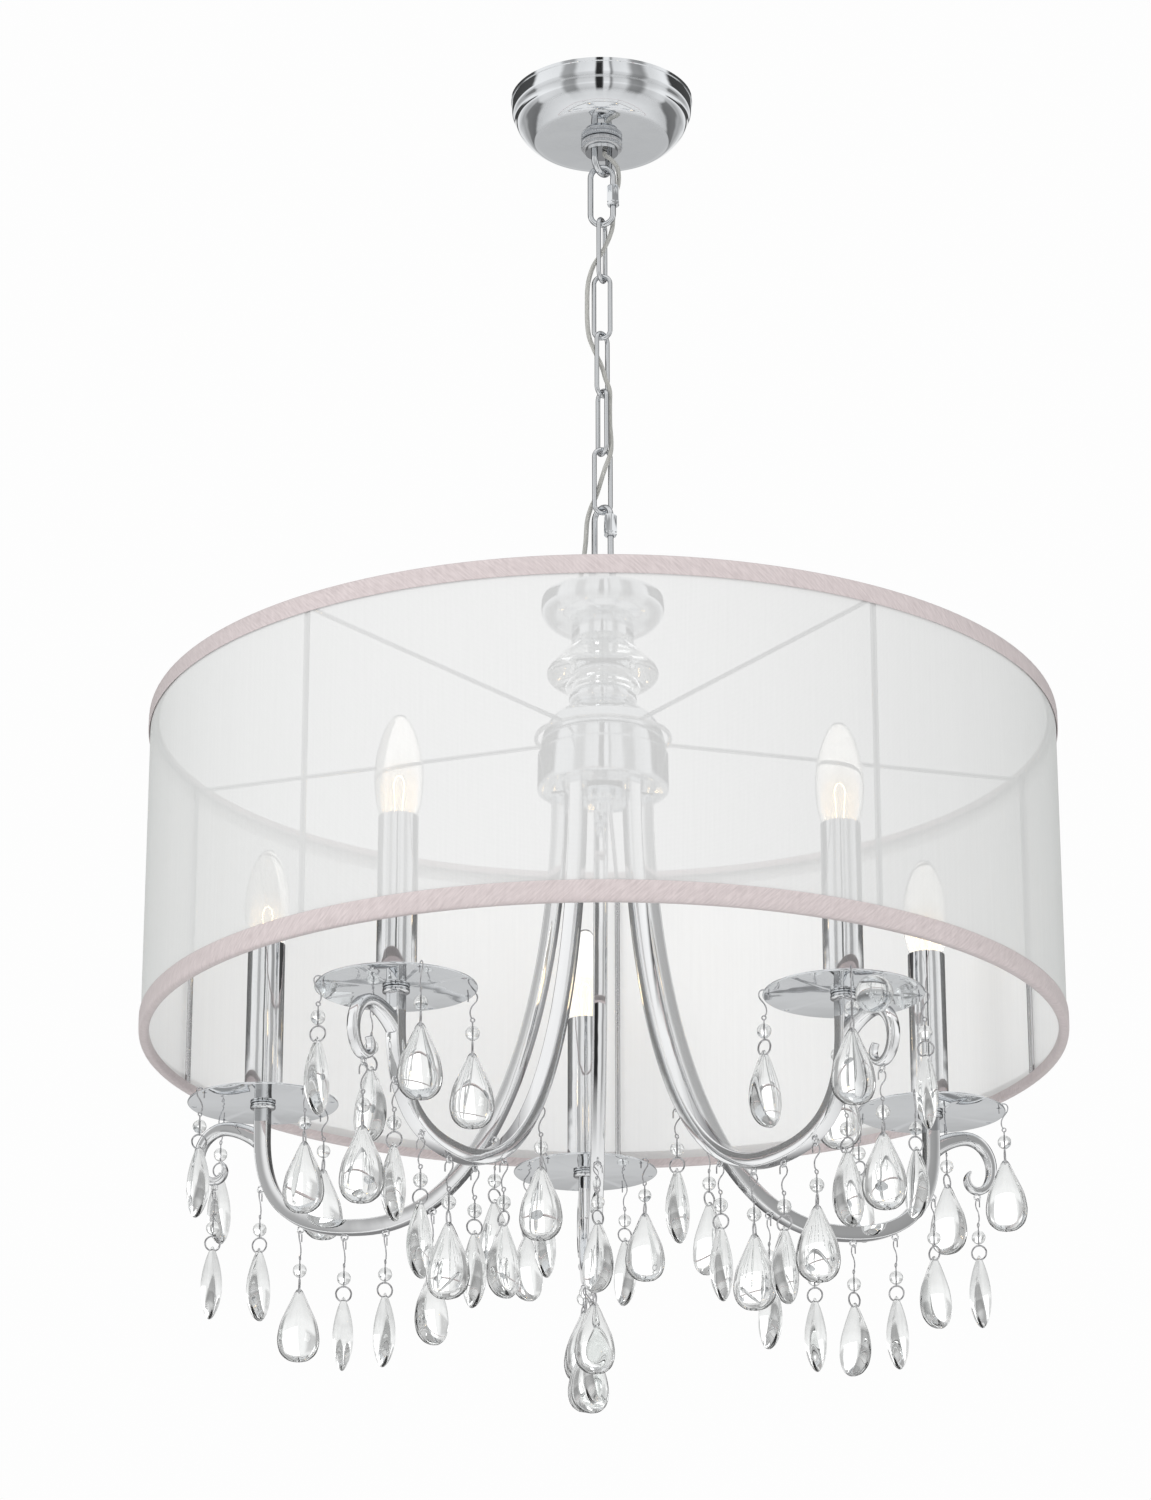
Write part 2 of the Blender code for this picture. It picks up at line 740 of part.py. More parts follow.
def column_loop(bar, end):
    """A loop on a round nut that stands on the dish's floor. Its origin is on the bar that it
    hangs from."""
    top_bar = column_bar(end)
    floor = top_bar - COLUMN_LOOP_HEIGHT - DISH_FLOOR_DEPTH + GAP
    nut_top = floor + COLUMN_NUT_HEIGHT
    nut = turned_mesh(
        (
            (0.0, nut_top),
            (COLUMN_NUT_RADIUS - COLLAR_CHAMFER, nut_top),
            (COLUMN_NUT_RADIUS, nut_top - COLLAR_CHAMFER),
            (COLUMN_NUT_RADIUS, floor),
            (0.0, floor),
        ),
        12,
    )
    leg = top_bar - nut_top + SEAT
    wire = tube_mesh(loop_points(COLUMN_LOOP_HALF_WIDTH, leg, -1), COLUMN_LOOP_WIRE)
    wire = moved(wire, Matrix.Translation((0.0, 0.0, top_bar)))
    mesh = combined([nut, wire])
    piece("column_loop", mesh, CHROME, fixture, (0.0, 0.0, bar), COLUMN_LOOP_YAW)


def column_pieces(levels):
    bowl_top, bowl_bottom = -DISH_BAND, -DISH_BAND - DISH_BOWL_HEIGHT
    bowl = quarter((DISH_RADIUS, bowl_top), (NECK_RADIUS, bowl_bottom), True, 4)
    neck_bottom = bowl_bottom - NECK_HEIGHT
    inner = DISH_RADIUS - DISH_LIP
    dish = [
        (0.0, -DISH_FLOOR_DEPTH),
        *[(r * inner, -z * DISH_FLOOR_DEPTH) for r, z in DISH_HOLLOW_SHARES],
        (inner, 0.0),
        (DISH_RADIUS, 0.0),
        (DISH_RADIUS, bowl_top),
        *bowl,
        (NECK_RADIUS, neck_bottom),
        (0.0, neck_bottom),
    ]
    seat = (0.0, 0.0, levels["dish"])
    piece("column_dish", turned_mesh(dish, COLUMN_STEPS), CHROME, fixture, seat)

    bore = TUBE_RADIUS + GAP
    hollow = GLASS_RADIUS - GLASS_WALL
    glass = [(r * GLASS_RADIUS, -z * GLASS_HEIGHT) for r, z in GLASS_OUTER_SHARES]
    glass += [(r * hollow, -z * GLASS_HEIGHT) for r, z in GLASS_INNER_SHARES]
    glass += [(bore, -GLASS_THROAT_SHARE * GLASS_HEIGHT), (bore, 0.0)]
    seat = (0.0, 0.0, levels["glass"])
    piece("column_glass", turned_mesh(glass, COLUMN_STEPS, closed=True), GLASS, fixture, seat)
    tube = [(0.0, 0.0), (TUBE_RADIUS, 0.0), (TUBE_RADIUS, -GLASS_HEIGHT), (0.0, -GLASS_HEIGHT)]
    piece("column_tube", turned_mesh(tube, 16), CHROME, fixture, seat)

    half = RING_HEIGHT / 2
    round_off = quarter((RING_RADIUS - half / 2, 0.0), (RING_RADIUS, -half), False, 3)
    under = [(r, -RING_HEIGHT - z) for r, z in reversed(round_off[:-1])]
    ring = [(0.0, 0.0), (RING_RADIUS - half / 2, 0.0), *round_off, *under]
    ring += [(RING_RADIUS - half / 2, -RING_HEIGHT), (0.0, -RING_HEIGHT)]
    seat = (0.0, 0.0, levels["ring"])
    piece("column_ring", turned_mesh(ring, COLUMN_STEPS), CHROME, fixture, seat)


def hub(levels):
    bottom = -HUB_DOME_HEIGHT - HUB_BAND_HEIGHT
    top = (HUB_TOP_RADIUS, 0.0)
    profile = [
        (0.0, 0.0),
        top,
        *quarter(top, (HUB_RADIUS, -HUB_DOME_HEIGHT), False, 6),
        (HUB_RADIUS, bottom + HUB_CHAMFER),
        (HUB_RADIUS - HUB_CHAMFER, bottom),
        (0.0, bottom),
    ]
    body = turned_mesh(profile, COLUMN_STEPS)
    side = ARM_SIDE + 2 * GAP
    depth = HUB_POCKET_DEPTH + OVERRUN
    pockets = []
    for i in range(ARM_COUNT):
        centre = (ARM_TOP_RADIUS, 0.0, bottom + HUB_POCKET_DEPTH - depth / 2)
        pocket = box_mesh((side, side, depth), centre)
        pockets.append(spun(pocket, azimuth_yaw(arm_azimuth(i))))
    mesh = combined([body, *pockets], "DIFFERENCE")
    piece("hub", mesh, CHROME, fixture, (0.0, 0.0, levels["hub"]))
    nut = [
        (0.0, 0.0),
        (NUT_RADIUS, 0.0),
        (NUT_RADIUS, HUB_CHAMFER - NUT_HEIGHT),
        (NUT_RADIUS - HUB_CHAMFER, -NUT_HEIGHT),
        (NUT_STEM_RADIUS, -NUT_HEIGHT),
        (NUT_STEM_RADIUS, -NUT_HEIGHT - NUT_STEM_HEIGHT),
        (0.0, -NUT_HEIGHT - NUT_STEM_HEIGHT),
    ]
    seat = (0.0, 0.0, levels["hub_bottom"] - GAP)
    piece("hub_nut", turned_mesh(nut, 16), CHROME, fixture, seat)


def wire_ring_mesh(radius, wire, height, steps):
    """A wire ring about the axis, whose facets keep step with the piece beside it."""
    profile = []
    for i in range(FRAME_WIRE_SIDES):
        angle = math.pi / 2 - 2 * math.pi * i / FRAME_WIRE_SIDES
        profile.append((radius + wire * math.cos(angle), height + wire * math.sin(angle)))
    return turned_mesh(profile, steps, closed=True)


def spider_seat():
    """Where the spider's ring rests on the hub's dome, as (radius, height below the dome's top)."""
    reach = HUB_RADIUS - HUB_TOP_RADIUS
    angle = SPIDER_SEAT_SHARE * math.pi / 2
    side = Vector((HUB_DOME_HEIGHT * math.sin(angle), reach * math.cos(angle))).normalized()
    place = Vector((HUB_TOP_RADIUS + reach * math.sin(angle), HUB_DOME_HEIGHT * (math.cos(angle) - 1)))
    return place + side * (SPIDER_WIRE + GAP)


def shade(levels):
    seat_radius, seat_height = spider_seat()
    seat = levels["hub"] + seat_height
    shade_top = seat + SPIDER_DROP
    shade_bottom = shade_top - SHADE_HEIGHT
    inset = TRIM_THICKNESS + GAP + FRAME_WIRE
    top_ring, bottom_ring = shade_top - inset - seat, shade_bottom + inset - seat
    meshes = [wire_ring_mesh(seat_radius, SPIDER_WIRE, 0.0, COLUMN_STEPS)]
    for z in (top_ring, bottom_ring):
        meshes.append(wire_ring_mesh(FRAME_RING_RADIUS, FRAME_WIRE, z, SHADE_STEPS))
    sink = FRAME_WIRE / 3
    rib_line = FRAME_RING_RADIUS - RIB_INSET
    rib = ((rib_line, 0.0, top_ring + sink), (rib_line, 0.0, bottom_ring - sink))
    spoke = (
        (seat_radius, 0.0, 0.0),
        (rib_line - SPIDER_RISE_RUN, 0.0, 0.0),
        (rib_line, 0.0, shade_top - SPIDER_END_DROP - seat),
    )
    for i in range(RIB_COUNT):
        turn = 360.0 * i / RIB_COUNT
        meshes.append(spun(tube_mesh(rib, RIB_WIRE), turn))
        meshes.append(spun(tube_mesh(spoke, SPIDER_WIRE), turn))
    yaw = azimuth_yaw(RIB_PHASE + 180.0 / RIB_COUNT)
    piece("shade_frame", combined(meshes), WIRE, fixture, (0.0, 0.0, seat), yaw)

    outer = SHADE_RADIUS - TRIM_THICKNESS - GAP
    inner = outer - FABRIC_THICKNESS
    height = SHADE_HEIGHT - 2 * (TRIM_THICKNESS + GAP)
    cloth = ((outer, 0.0), (outer, -height), (inner, -height), (inner, 0.0))
    seat = (0.0, 0.0, shade_top - TRIM_THICKNESS - GAP)
    piece("shade_fabric", turned_mesh(cloth, SHADE_STEPS, closed=True), ORGANZA, fixture, seat, yaw)

    tuck = FRAME_RING_RADIUS - FRAME_WIRE - GAP
    band = (
        (SHADE_RADIUS, 0.0),
        (SHADE_RADIUS, -TRIM_WIDTH),
        (SHADE_RADIUS - TRIM_THICKNESS, -TRIM_WIDTH),
        (SHADE_RADIUS - TRIM_THICKNESS, -TRIM_THICKNESS),
        (tuck, -TRIM_THICKNESS),
        (tuck, -TRIM_TUCK),
        (tuck - TRIM_THICKNESS, -TRIM_TUCK),
        (tuck - TRIM_THICKNESS, 0.0),
    )
    mesh = turned_mesh(band, SHADE_STEPS, closed=True)
    piece("shade_trim_top", mesh, SILK, fixture, (0.0, 0.0, shade_top), yaw)
    flipped = [(r, -z) for r, z in reversed(band)]
    mesh = turned_mesh(flipped, SHADE_STEPS, closed=True)
    piece("shade_trim_bottom", mesh, SILK, fixture, (0.0, 0.0, shade_bottom), yaw)


def arm_path():
    """The arm's centre line, as (outwards from the column's axis, up from the hub's underside) points."""
    low = (ARM_LOW_RADIUS, -ARM_DROP)
    top = (ARM_TOP_RADIUS, 0.0)
    turn = (CANDLE_RADIUS, ARM_RISE - ARM_DROP)
    path = [(ARM_TOP_RADIUS, HUB_POCKET_DEPTH - GAP), top]
    path += bezier(
        top,
        (ARM_TOP_RADIUS, -ARM_TOP_PULL),
        (ARM_LOW_RADIUS - ARM_INNER_PULL, -ARM_DROP),
        low,
        ARM_INNER_STEPS,
    )
    path += bezier(
        low,
        (ARM_LOW_RADIUS + ARM_OUTER_PULL, -ARM_DROP),
        (CANDLE_RADIUS, turn[1] - ARM_RISE_PULL),
        turn,
        ARM_OUTER_STEPS,
    )
    path.append((CANDLE_RADIUS, DISC_HEIGHT - ARM_DROP - GAP))
    return path


def arm_eye_centre(path):
    """The centre of the eye on the arm's underside, and the direction away from the arm there."""
    for (r0, z0), (r1, z1) in zip(path[2:], path[3:]):
        if r0 <= EYE_PLACE <= r1:
            share = (EYE_PLACE - r0) / (r1 - r0)
            run = Vector((r1 - r0, 0.0, z1 - z0)).normalized()
            away = Vector((run.z, 0.0, -run.x))
            point = Vector((EYE_PLACE, 0.0, z0 + (z1 - z0) * share))
            return point + away * (ARM_SIDE / 2 - EYE_SINK + EYE_RADIUS), away
    raise ValueError("the eye lies off the arm")


def scroll_outline():
    """The scroll's outline in the arm's frame: a strap that leaves the tube, arches outwards
    and curls in."""
    base = DISC_HEIGHT - ARM_DROP
    root_point, top, outer, bottom, inner, tip = (
        (CANDLE_RADIUS + x, base - z)
        for x, z in (SCROLL_ROOT, SCROLL_TOP, SCROLL_OUTER, SCROLL_BOTTOM, SCROLL_INNER, SCROLL_TIP)
    )
    reach = top[0] - root_point[0]
    path = [root_point]
    rise = (top[1] - root_point[1]) / 2
    path += bezier(
        root_point,
        (root_point[0] + reach / 4, root_point[1] + rise),
        (top[0] - reach / 3, top[1]),
        top,
        SCROLL_QUARTER_STEPS,
    )
    path += quarter(top, outer, False, SCROLL_QUARTER_STEPS)
    path += quarter(outer, bottom, True, SCROLL_QUARTER_STEPS)
    path += quarter(bottom, inner, False, SCROLL_QUARTER_STEPS)
    path += bezier(inner, (inner[0], (inner[1] + tip[1]) / 2), tip, tip, 2)
    marks = (
        SCROLL_ROOT_WIDTH,
        SCROLL_TOP_WIDTH,
        SCROLL_OUTER_WIDTH,
        SCROLL_BOTTOM_WIDTH,
        SCROLL_INNER_WIDTH,
    )
    widths = [SCROLL_ROOT_WIDTH]
    for before, after in zip(marks, marks[1:]):
        for i in range(1, SCROLL_QUARTER_STEPS + 1):
            widths.append(before + (after - before) * i / SCROLL_QUARTER_STEPS)
    widths += [(SCROLL_INNER_WIDTH + SCROLL_TIP_WIDTH) / 2, SCROLL_TIP_WIDTH]
    return ribbon(path, widths)


def scroll_eye_centre():
    x, z = SCROLL_BOTTOM
    drop = SCROLL_BOTTOM_WIDTH / 2 - EYE_SINK + EYE_RADIUS
    return Vector((CANDLE_RADIUS + x, 0.0, DISC_HEIGHT - ARM_DROP - z - drop))


def nearest_on_path(path, place):
    """The point of an (outwards, up) path that lies nearest to a place, and the path's direction there."""
    place = Vector(place)
    found = None
    for start, end in zip(path, path[1:]):
        start, run = Vector(start), Vector(end) - Vector(start)
        share = min(max((place - start).dot(run) / run.length_squared, 0.0), 1.0)
        point = start + run * share
        if found is None or (place - point).length < (place - found[0]).length:
            found = (point, run.normalized())
    return found


def plain_strand_meshes(route, twist):
    """A strand that doesn't swing: a wire along a route that ends at its pivot, and its bead and drop below."""
    pivot = Vector(route[-1])
    place = Matrix.Translation(pivot)
    bead_centre = -HOOK_LENGTH - PIN_LENGTH - BEAD_RADIUS
    drop_top = bead_centre - BEAD_RADIUS - LOWER_PIN_LENGTH - 2 * DROP_RING_RADIUS + RING_WIRE + DROP_RING_OVERLAP
    wire = tube_mesh([*route, pivot + Vector((0.0, 0.0, drop_top - 2 * DROP_RING_OVERLAP))], PLAIN_WIRE, 0)
    turns = (math.pi * i / PLAIN_BEAD_ROWS for i in range(PLAIN_BEAD_ROWS + 1))
    bead_profile = [(BEAD_RADIUS * math.sin(turn), bead_centre + BEAD_RADIUS * math.cos(turn)) for turn in turns]
    bead = moved(turned_mesh(bead_profile, BEAD_STEPS), place)
    profile = [(0.0, drop_top)]
    profile += [(r * DROP_WIDTH / 2, drop_top - z * DROP_LENGTH) for r, z in PLAIN_DROP_SHARES]
    profile.append((0.0, drop_top - DROP_LENGTH))
    drop = turned_mesh(profile, PLAIN_DROP_STEPS)
    drop = moved(drop, Matrix.Diagonal((1.0, DROP_THICKNESS / DROP_WIDTH, 1.0, 1.0)))
    return [wire, bead, moved(spun(drop, twist), place)]


def plain_arm_strands(path):
    """The strands under an arm's curve and the one under its scroll. Each wire starts inside the arm."""
    meshes = []
    for place, twist in zip(PLAIN_PLACES, PLAIN_EYE_TWISTS):
        point, run = nearest_on_path(path, place)
        away = Vector((run.y, 0.0, -run.x))
        root_point = Vector((point.x, 0.0, point.y)) + away * (ARM_SIDE / 2 - PLAIN_ROOT)
        eye = Vector((point.x, 0.0, point.y)) + away * (ARM_SIDE / 2 - EYE_SINK + EYE_RADIUS)
        meshes += plain_strand_meshes((root_point, eye, eye - Vector((0.0, 0.0, EYE_RADIUS))), twist)
    eye = scroll_eye_centre()
    top = eye + Vector((0.0, 0.0, EYE_RADIUS + PLAIN_ROOT))
    return meshes + plain_strand_meshes((top, eye - Vector((0.0, 0.0, EYE_RADIUS))), PLAIN_SCROLL_TWIST)


def plain_disc_strands():
    """The strands at three of a disc's holes. Each wire starts inside the disc."""
    meshes = []
    for hole in PLAIN_HOLES:
        degrees = DISC_HOLE_PHASE + 360.0 * hole / DISC_HOLE_COUNT
        angle = math.radians(degrees)
        x, y = PLAIN_DISC_RADIUS * math.cos(angle), PLAIN_DISC_RADIUS * math.sin(angle)
        route = ((x, y, -DISC_THICKNESS / 2), (x, y, -2 * DISC_THICKNESS))
        strand = plain_strand_meshes(route, degrees + PLAIN_HOLE_TWIST)
        lift = Matrix.Translation((0.0, 0.0, 2 * DISC_THICKNESS))
        meshes += [strand[0], *(moved(mesh, lift) for mesh in strand[1:])]
    return meshes


def arm_mesh():
    path = arm_path()
    meshes = [plate_mesh(ribbon(path, [ARM_SIDE] * len(path)), ARM_SIDE)]
    meshes.append(plate_mesh(scroll_outline(), SCROLL_THICKNESS))
    top = path[-1][1]
    nut_top = (CANDLE_RADIUS, 0.0, top)
    nut_bottom = (CANDLE_RADIUS, 0.0, top - TUBE_NUT_HEIGHT)
    meshes.append(rod_mesh(TUBE_NUT_RADIUS, nut_bottom, nut_top, 8))
    meshes.append(eye_mesh(*arm_eye_centre(path)))
    return combined(meshes + plain_arm_strands(path))


def disc_mesh():
    profile = ((0.0, 0.0), (DISC_RADIUS, 0.0), (DISC_RADIUS, -DISC_THICKNESS), (0.0, -DISC_THICKNESS))
    holes = []
    for i in range(DISC_HOLE_COUNT):
        angle = math.radians(DISC_HOLE_PHASE + 360.0 * i / DISC_HOLE_COUNT)
        x, y = DISC_HOLE_CENTRE * math.cos(angle), DISC_HOLE_CENTRE * math.sin(angle)
        holes.append(rod_mesh(DISC_HOLE_RADIUS, (x, y, -DISC_THICKNESS - OVERRUN), (x, y, OVERRUN), 5))
    disc = combined([turned_mesh(profile, DISC_STEPS), *holes], "DIFFERENCE")
    return combined([disc, *plain_disc_strands()])


def candle_mesh():
    bore = CANDLE_SLEEVE_RADIUS - CANDLE_SLEEVE_WALL
    socket = CANDLE_SLEEVE_HEIGHT - SOCKET_DEPTH
    profile = (
        (0.0, socket),
        (bore, socket),
        (bore, CANDLE_SLEEVE_HEIGHT),
        (CANDLE_SLEEVE_RADIUS, CANDLE_SLEEVE_HEIGHT),
        (CANDLE_SLEEVE_RADIUS, 0.0),
        (0.0, 0.0),
    )
    return turned_mesh(profile, CANDLE_STEPS)


def bulb_mesh():
    """A flame-shaped bulb whose base stands in the sleeve's socket. Its origin is at the sleeve's rim."""
    foot = GAP - SOCKET_DEPTH
    profile = [(r * BULB_RADIUS, z * BULB_HEIGHT) for r, z in BULB_PROFILE_SHARES]
    profile += [
        (BULB_BASE_RADIUS, foot + BULB_BASE_LENGTH),
        (BULB_BASE_RADIUS, foot),
        (0.0, foot),
    ]
    return turned_mesh(profile, CANDLE_STEPS)


def hook_path():
    """The hook's centre line as (x, 0, z) points below its pivot: a tail, an arc over the pivot and a run back to
    the strand's axis. The arc clears an eye's wire at the pivot."""
    crown = EYE_WIRE + HOOK_WIRE + GAP
    centre = crown - HOOK_RADIUS
    points = [(-HOOK_RADIUS, 0.0, centre - HOOK_TAIL)]
    for i in range(HOOK_STEPS + 1):
        angle = math.pi * i / HOOK_STEPS
        x, z = -HOOK_RADIUS * math.cos(angle), centre + HOOK_RADIUS * math.sin(angle)
        points.append((x, 0.0, z))
    middle = (centre - HOOK_LENGTH) / 2
    run = bezier((HOOK_RADIUS, centre), (HOOK_RADIUS, middle), (0.0, middle), (0.0, -HOOK_LENGTH), 2)
    return points + [(x, 0.0, z) for x, z in run]


def strand_mesh(twist):
    """Hook, bead, ring and drop on one wire, with the ring and the drop turned about the strand's axis."""
    bead_centre = -HOOK_LENGTH - PIN_LENGTH - BEAD_RADIUS
    pin_bottom = bead_centre - BEAD_RADIUS - LOWER_PIN_LENGTH
    ring_centre = pin_bottom - DROP_RING_RADIUS + RING_WIRE
    drop_top = ring_centre - DROP_RING_RADIUS + DROP_RING_OVERLAP
    wire = tube_mesh([*hook_path(), (0.0, 0.0, pin_bottom)], HOOK_WIRE, 0)
    bead = turned_mesh(
        [
            (BEAD_RADIUS * math.sin(turn), bead_centre + BEAD_RADIUS * math.cos(turn))
            for turn in (math.pi * i / BEAD_ROWS for i in range(BEAD_ROWS + 1))
        ],
        BEAD_STEPS,
    )
    angles = [2 * math.pi * i / RING_SIDES for i in range(RING_SIDES)]
    ring_points = [
        (0.0, DROP_RING_RADIUS * math.sin(a), ring_centre + DROP_RING_RADIUS * math.cos(a)) for a in angles
    ]
    ring = spun(tube_mesh(ring_points, RING_WIRE, 0, cyclic=True), twist)
    profile = [(0.0, drop_top)]
    profile += [(r * DROP_WIDTH / 2, drop_top - z * DROP_LENGTH) for r, z in DROP_PROFILE_SHARES]
    profile.append((0.0, drop_top - DROP_LENGTH))
    drop = turned_mesh(profile, DROP_STEPS)
    drop = moved(drop, Matrix.Diagonal((1.0, DROP_THICKNESS / DROP_WIDTH, 1.0, 1.0)))
    return combined([wire, bead, ring, spun(drop, twist)])


def lights(levels):
    """The arms with their scrolls, and on each one the drip disc, candle sleeve, bulb and two strands."""
    meshes = {
        "arm": arm_mesh(),
        "disc": disc_mesh(),
        "candle": candle_mesh(),
        "bulb": bulb_mesh(),
        "arm_strand": strand_mesh(ARM_STRAND_TWIST),
        "disc_strand": strand_mesh(DISC_STRAND_TWIST),
    }
    hub_seat = Vector((0.0, 0.0, levels["hub_bottom"]))
    path = arm_path()
    arm_eye, _ = arm_eye_centre(path)
    hole_azimuth = DISC_HOLE_PHASE + 360.0 * DISC_STRAND_HOLE / DISC_HOLE_COUNT
    for i in range(ARM_COUNT):
        azimuth = arm_azimuth(i)
        yaw = azimuth_yaw(azimuth)
        out = outwards(azimuth)
        number = i + 1
        candle = CANDLE_RADIUS * out + Vector((0.0, 0.0, levels["disc"]))
        disc_top = candle + Vector((0.0, 0.0, DISC_THICKNESS))
        rim = disc_top + Vector((0.0, 0.0, GAP + CANDLE_SLEEVE_HEIGHT))
        piece(f"arm_{number}", meshes["arm"], CHROME, fixture, hub_seat, yaw)
        piece(f"drip_disc_{number}", meshes["disc"], CHROME, fixture, disc_top, yaw)
        sleeve_seat = disc_top + Vector((0.0, 0.0, GAP))
        piece(f"candle_sleeve_{number}", meshes["candle"], CHROME, fixture, sleeve_seat, yaw)
        piece(f"bulb_{number}", meshes["bulb"], BULB, fixture, rim, yaw)
        pivots = {
            "arm": hub_seat + arm_eye.x * out + Vector((0.0, 0.0, arm_eye.z - EYE_RADIUS)),
            "disc": disc_top + (DISC_HOLE_CENTRE + HOOK_RADIUS) * outwards(azimuth + hole_azimuth),
        }
        for kind, place in pivots.items():
            turn = azimuth_yaw(azimuth + (hole_azimuth if kind == "disc" else 90.0))
            name = f"strand_{kind}_{number}"
            hinge = anchor(f"{name}_hinge", fixture, place)
            piece(name, meshes[f"{kind}_strand"], GLASS, hinge, place, turn)


def supply_cord(levels):
    start = (*CORD_START, BOSS_BOTTOM - GAP)
    end = (*CORD_END, levels["dish"] - DISH_FLOOR_DEPTH + GAP)
    points = smooth_route((start, *CORD_ROUTE, end), CORD_STEP)
    piece("supply_cord", tube_mesh(points, CORD_RADIUS, 2), CORD, root, (0.0, 0.0, 0.0))


clear_scene()
parts = collection("drum_chandelier")
cutters = collection("cutters")
root = anchor("ceiling", None, (0.0, 0.0, 0.0))
bracket()
canopy()
canopy_loop()
chain_end, lowest_bar, end = chain()
fixture = anchor("fixture", chain_end, (0.0, 0.0, lowest_bar))
heights = column_levels(lowest_bar, end)
column_loop(lowest_bar, end)
column_pieces(heights)
hub(heights)
shade(heights)
lights(heights)
supply_cord(heights)
for name, height in heights.items():
    print(f"{name} at {height:.4f} m")
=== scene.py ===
"""Looks of the drum chandelier: finer surfaces, glass, cloth, cord, light and camera.

Lengths are in metres. The origin is on the ceiling, at the centre of the canopy's rim, with Z up.
An azimuth is measured from the photographed side, -Y, towards +X. A light's own frame has X away
from the column, Y towards greater azimuth and Z up.
"""
import math

import bmesh
import bpy
import numpy as np
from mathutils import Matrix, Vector


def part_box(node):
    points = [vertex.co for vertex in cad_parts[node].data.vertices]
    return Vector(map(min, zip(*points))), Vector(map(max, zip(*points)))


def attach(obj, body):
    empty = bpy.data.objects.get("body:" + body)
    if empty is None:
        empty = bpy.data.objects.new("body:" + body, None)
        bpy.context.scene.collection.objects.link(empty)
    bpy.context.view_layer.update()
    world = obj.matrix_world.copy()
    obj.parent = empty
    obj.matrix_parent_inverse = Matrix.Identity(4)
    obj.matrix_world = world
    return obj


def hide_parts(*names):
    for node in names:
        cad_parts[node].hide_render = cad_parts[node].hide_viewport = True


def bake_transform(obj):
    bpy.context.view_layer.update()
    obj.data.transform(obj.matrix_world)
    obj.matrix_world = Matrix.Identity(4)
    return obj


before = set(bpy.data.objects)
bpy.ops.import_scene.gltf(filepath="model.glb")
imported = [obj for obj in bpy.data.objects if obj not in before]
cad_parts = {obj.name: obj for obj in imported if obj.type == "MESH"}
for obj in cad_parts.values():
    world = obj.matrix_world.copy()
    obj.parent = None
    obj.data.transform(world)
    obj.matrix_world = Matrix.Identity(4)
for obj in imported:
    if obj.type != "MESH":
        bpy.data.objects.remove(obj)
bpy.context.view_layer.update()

# Azimuths in degrees, and the gap between the solids
ARM_AZIMUTHS = (38.8, 110.8, 182.8, 254.8, 326.8)
RIB_AZIMUTH = 33.7
SPACING = 72.0
GAP = 0.0003

# Canopy
CANOPY_RADIUS = 0.0642
CANOPY_HEIGHT = 0.0330
CANOPY_WALL = 0.0010
CANOPY_RIM = ((0.985, 0.0), (1.0, 0.012), (1.0, 0.08), (0.991, 0.095))
CANOPY_BOWL = (
    (0.991, 0.095), (0.992, 0.180), (0.990, 0.280), (0.980, 0.370), (0.955, 0.450), (0.944, 0.520),
    (0.936, 0.590), (0.912, 0.680), (0.880, 0.760), (0.840, 0.845), (0.795, 0.920), (0.755, 0.968),
    (0.715, 0.988), (0.640, 0.993), (0.450, 0.996), (0.0795, 1.0),
)
COLLAR_RADIUS = 0.0145
COLLAR_TOP = -0.0333
COLLAR_HEIGHT = 0.0062
COLLAR_RIDGES = 52
COLLAR_RIDGE_DEPTH = 0.00055
# Down the collar: share of its height, inset and share of the ridges, both in ridge depths
KNURL_MARKS = (
    (0.0, 1.6, 0.0), (0.02, 1.3, 0.0), (0.10, 0.3, 0.4), (0.14, 0.0, 1.0), (0.42, 0.0, 1.0),
    (0.46, 0.9, 0.3), (0.50, 1.5, 0.0), (0.54, 0.9, 0.3), (0.58, 0.0, 1.0), (0.86, 0.0, 1.0),
    (0.90, 0.3, 0.4), (0.98, 1.3, 0.0), (1.0, 1.6, 0.0),
)
BOSS_RADIUS = 0.0116
BOSS_TOP = -0.0398
BOSS_BOTTOM = -0.0422
BOSS_EASE = 0.0012
THREAD_TURNS = 4
THREAD_DEPTH = 0.0004
LEG_SINK = 0.0006

# Chain
LOOP_YAW = 56.0
LOOP_HALF_WIDTH = 0.0090
LOOP_WIRE = 0.0024
LOOP_BAR = -0.0580
QUICK_LENGTH = 0.049
QUICK_WIDTH = 0.020
QUICK_WIRE = 0.0020
QUICK_YAWS = {"upper": -8.0, "lower": -47.0}
QUICK_NUTS = {"upper": -0.0005, "lower": 0.0065}
QUICK_GAPS = {"upper": (-0.0075, -0.0015), "lower": (0.0062, 0.0122)}
NUT_LENGTH = 0.0156
NUT_FLATS = 0.0080
NUT_EASE = 0.0009
NUT_GROOVE = 0.0024
NUT_GROOVE_MARKS = ((0.0, 0.0005), (0.0005, 0.0002), (0.0005, -0.0002), (0.0, -0.0005))
LINK_LENGTH = 0.0508
LINK_WIDTH = 0.0146
LINK_WIRE = 0.0016
LINK_YAWS = (67.0, -10.0, 50.0, -59.0, 16.0)
HINGES = (-0.0580, -0.0983, -0.1420, -0.1861, -0.230093, -0.274193, -0.318292, -0.359369)

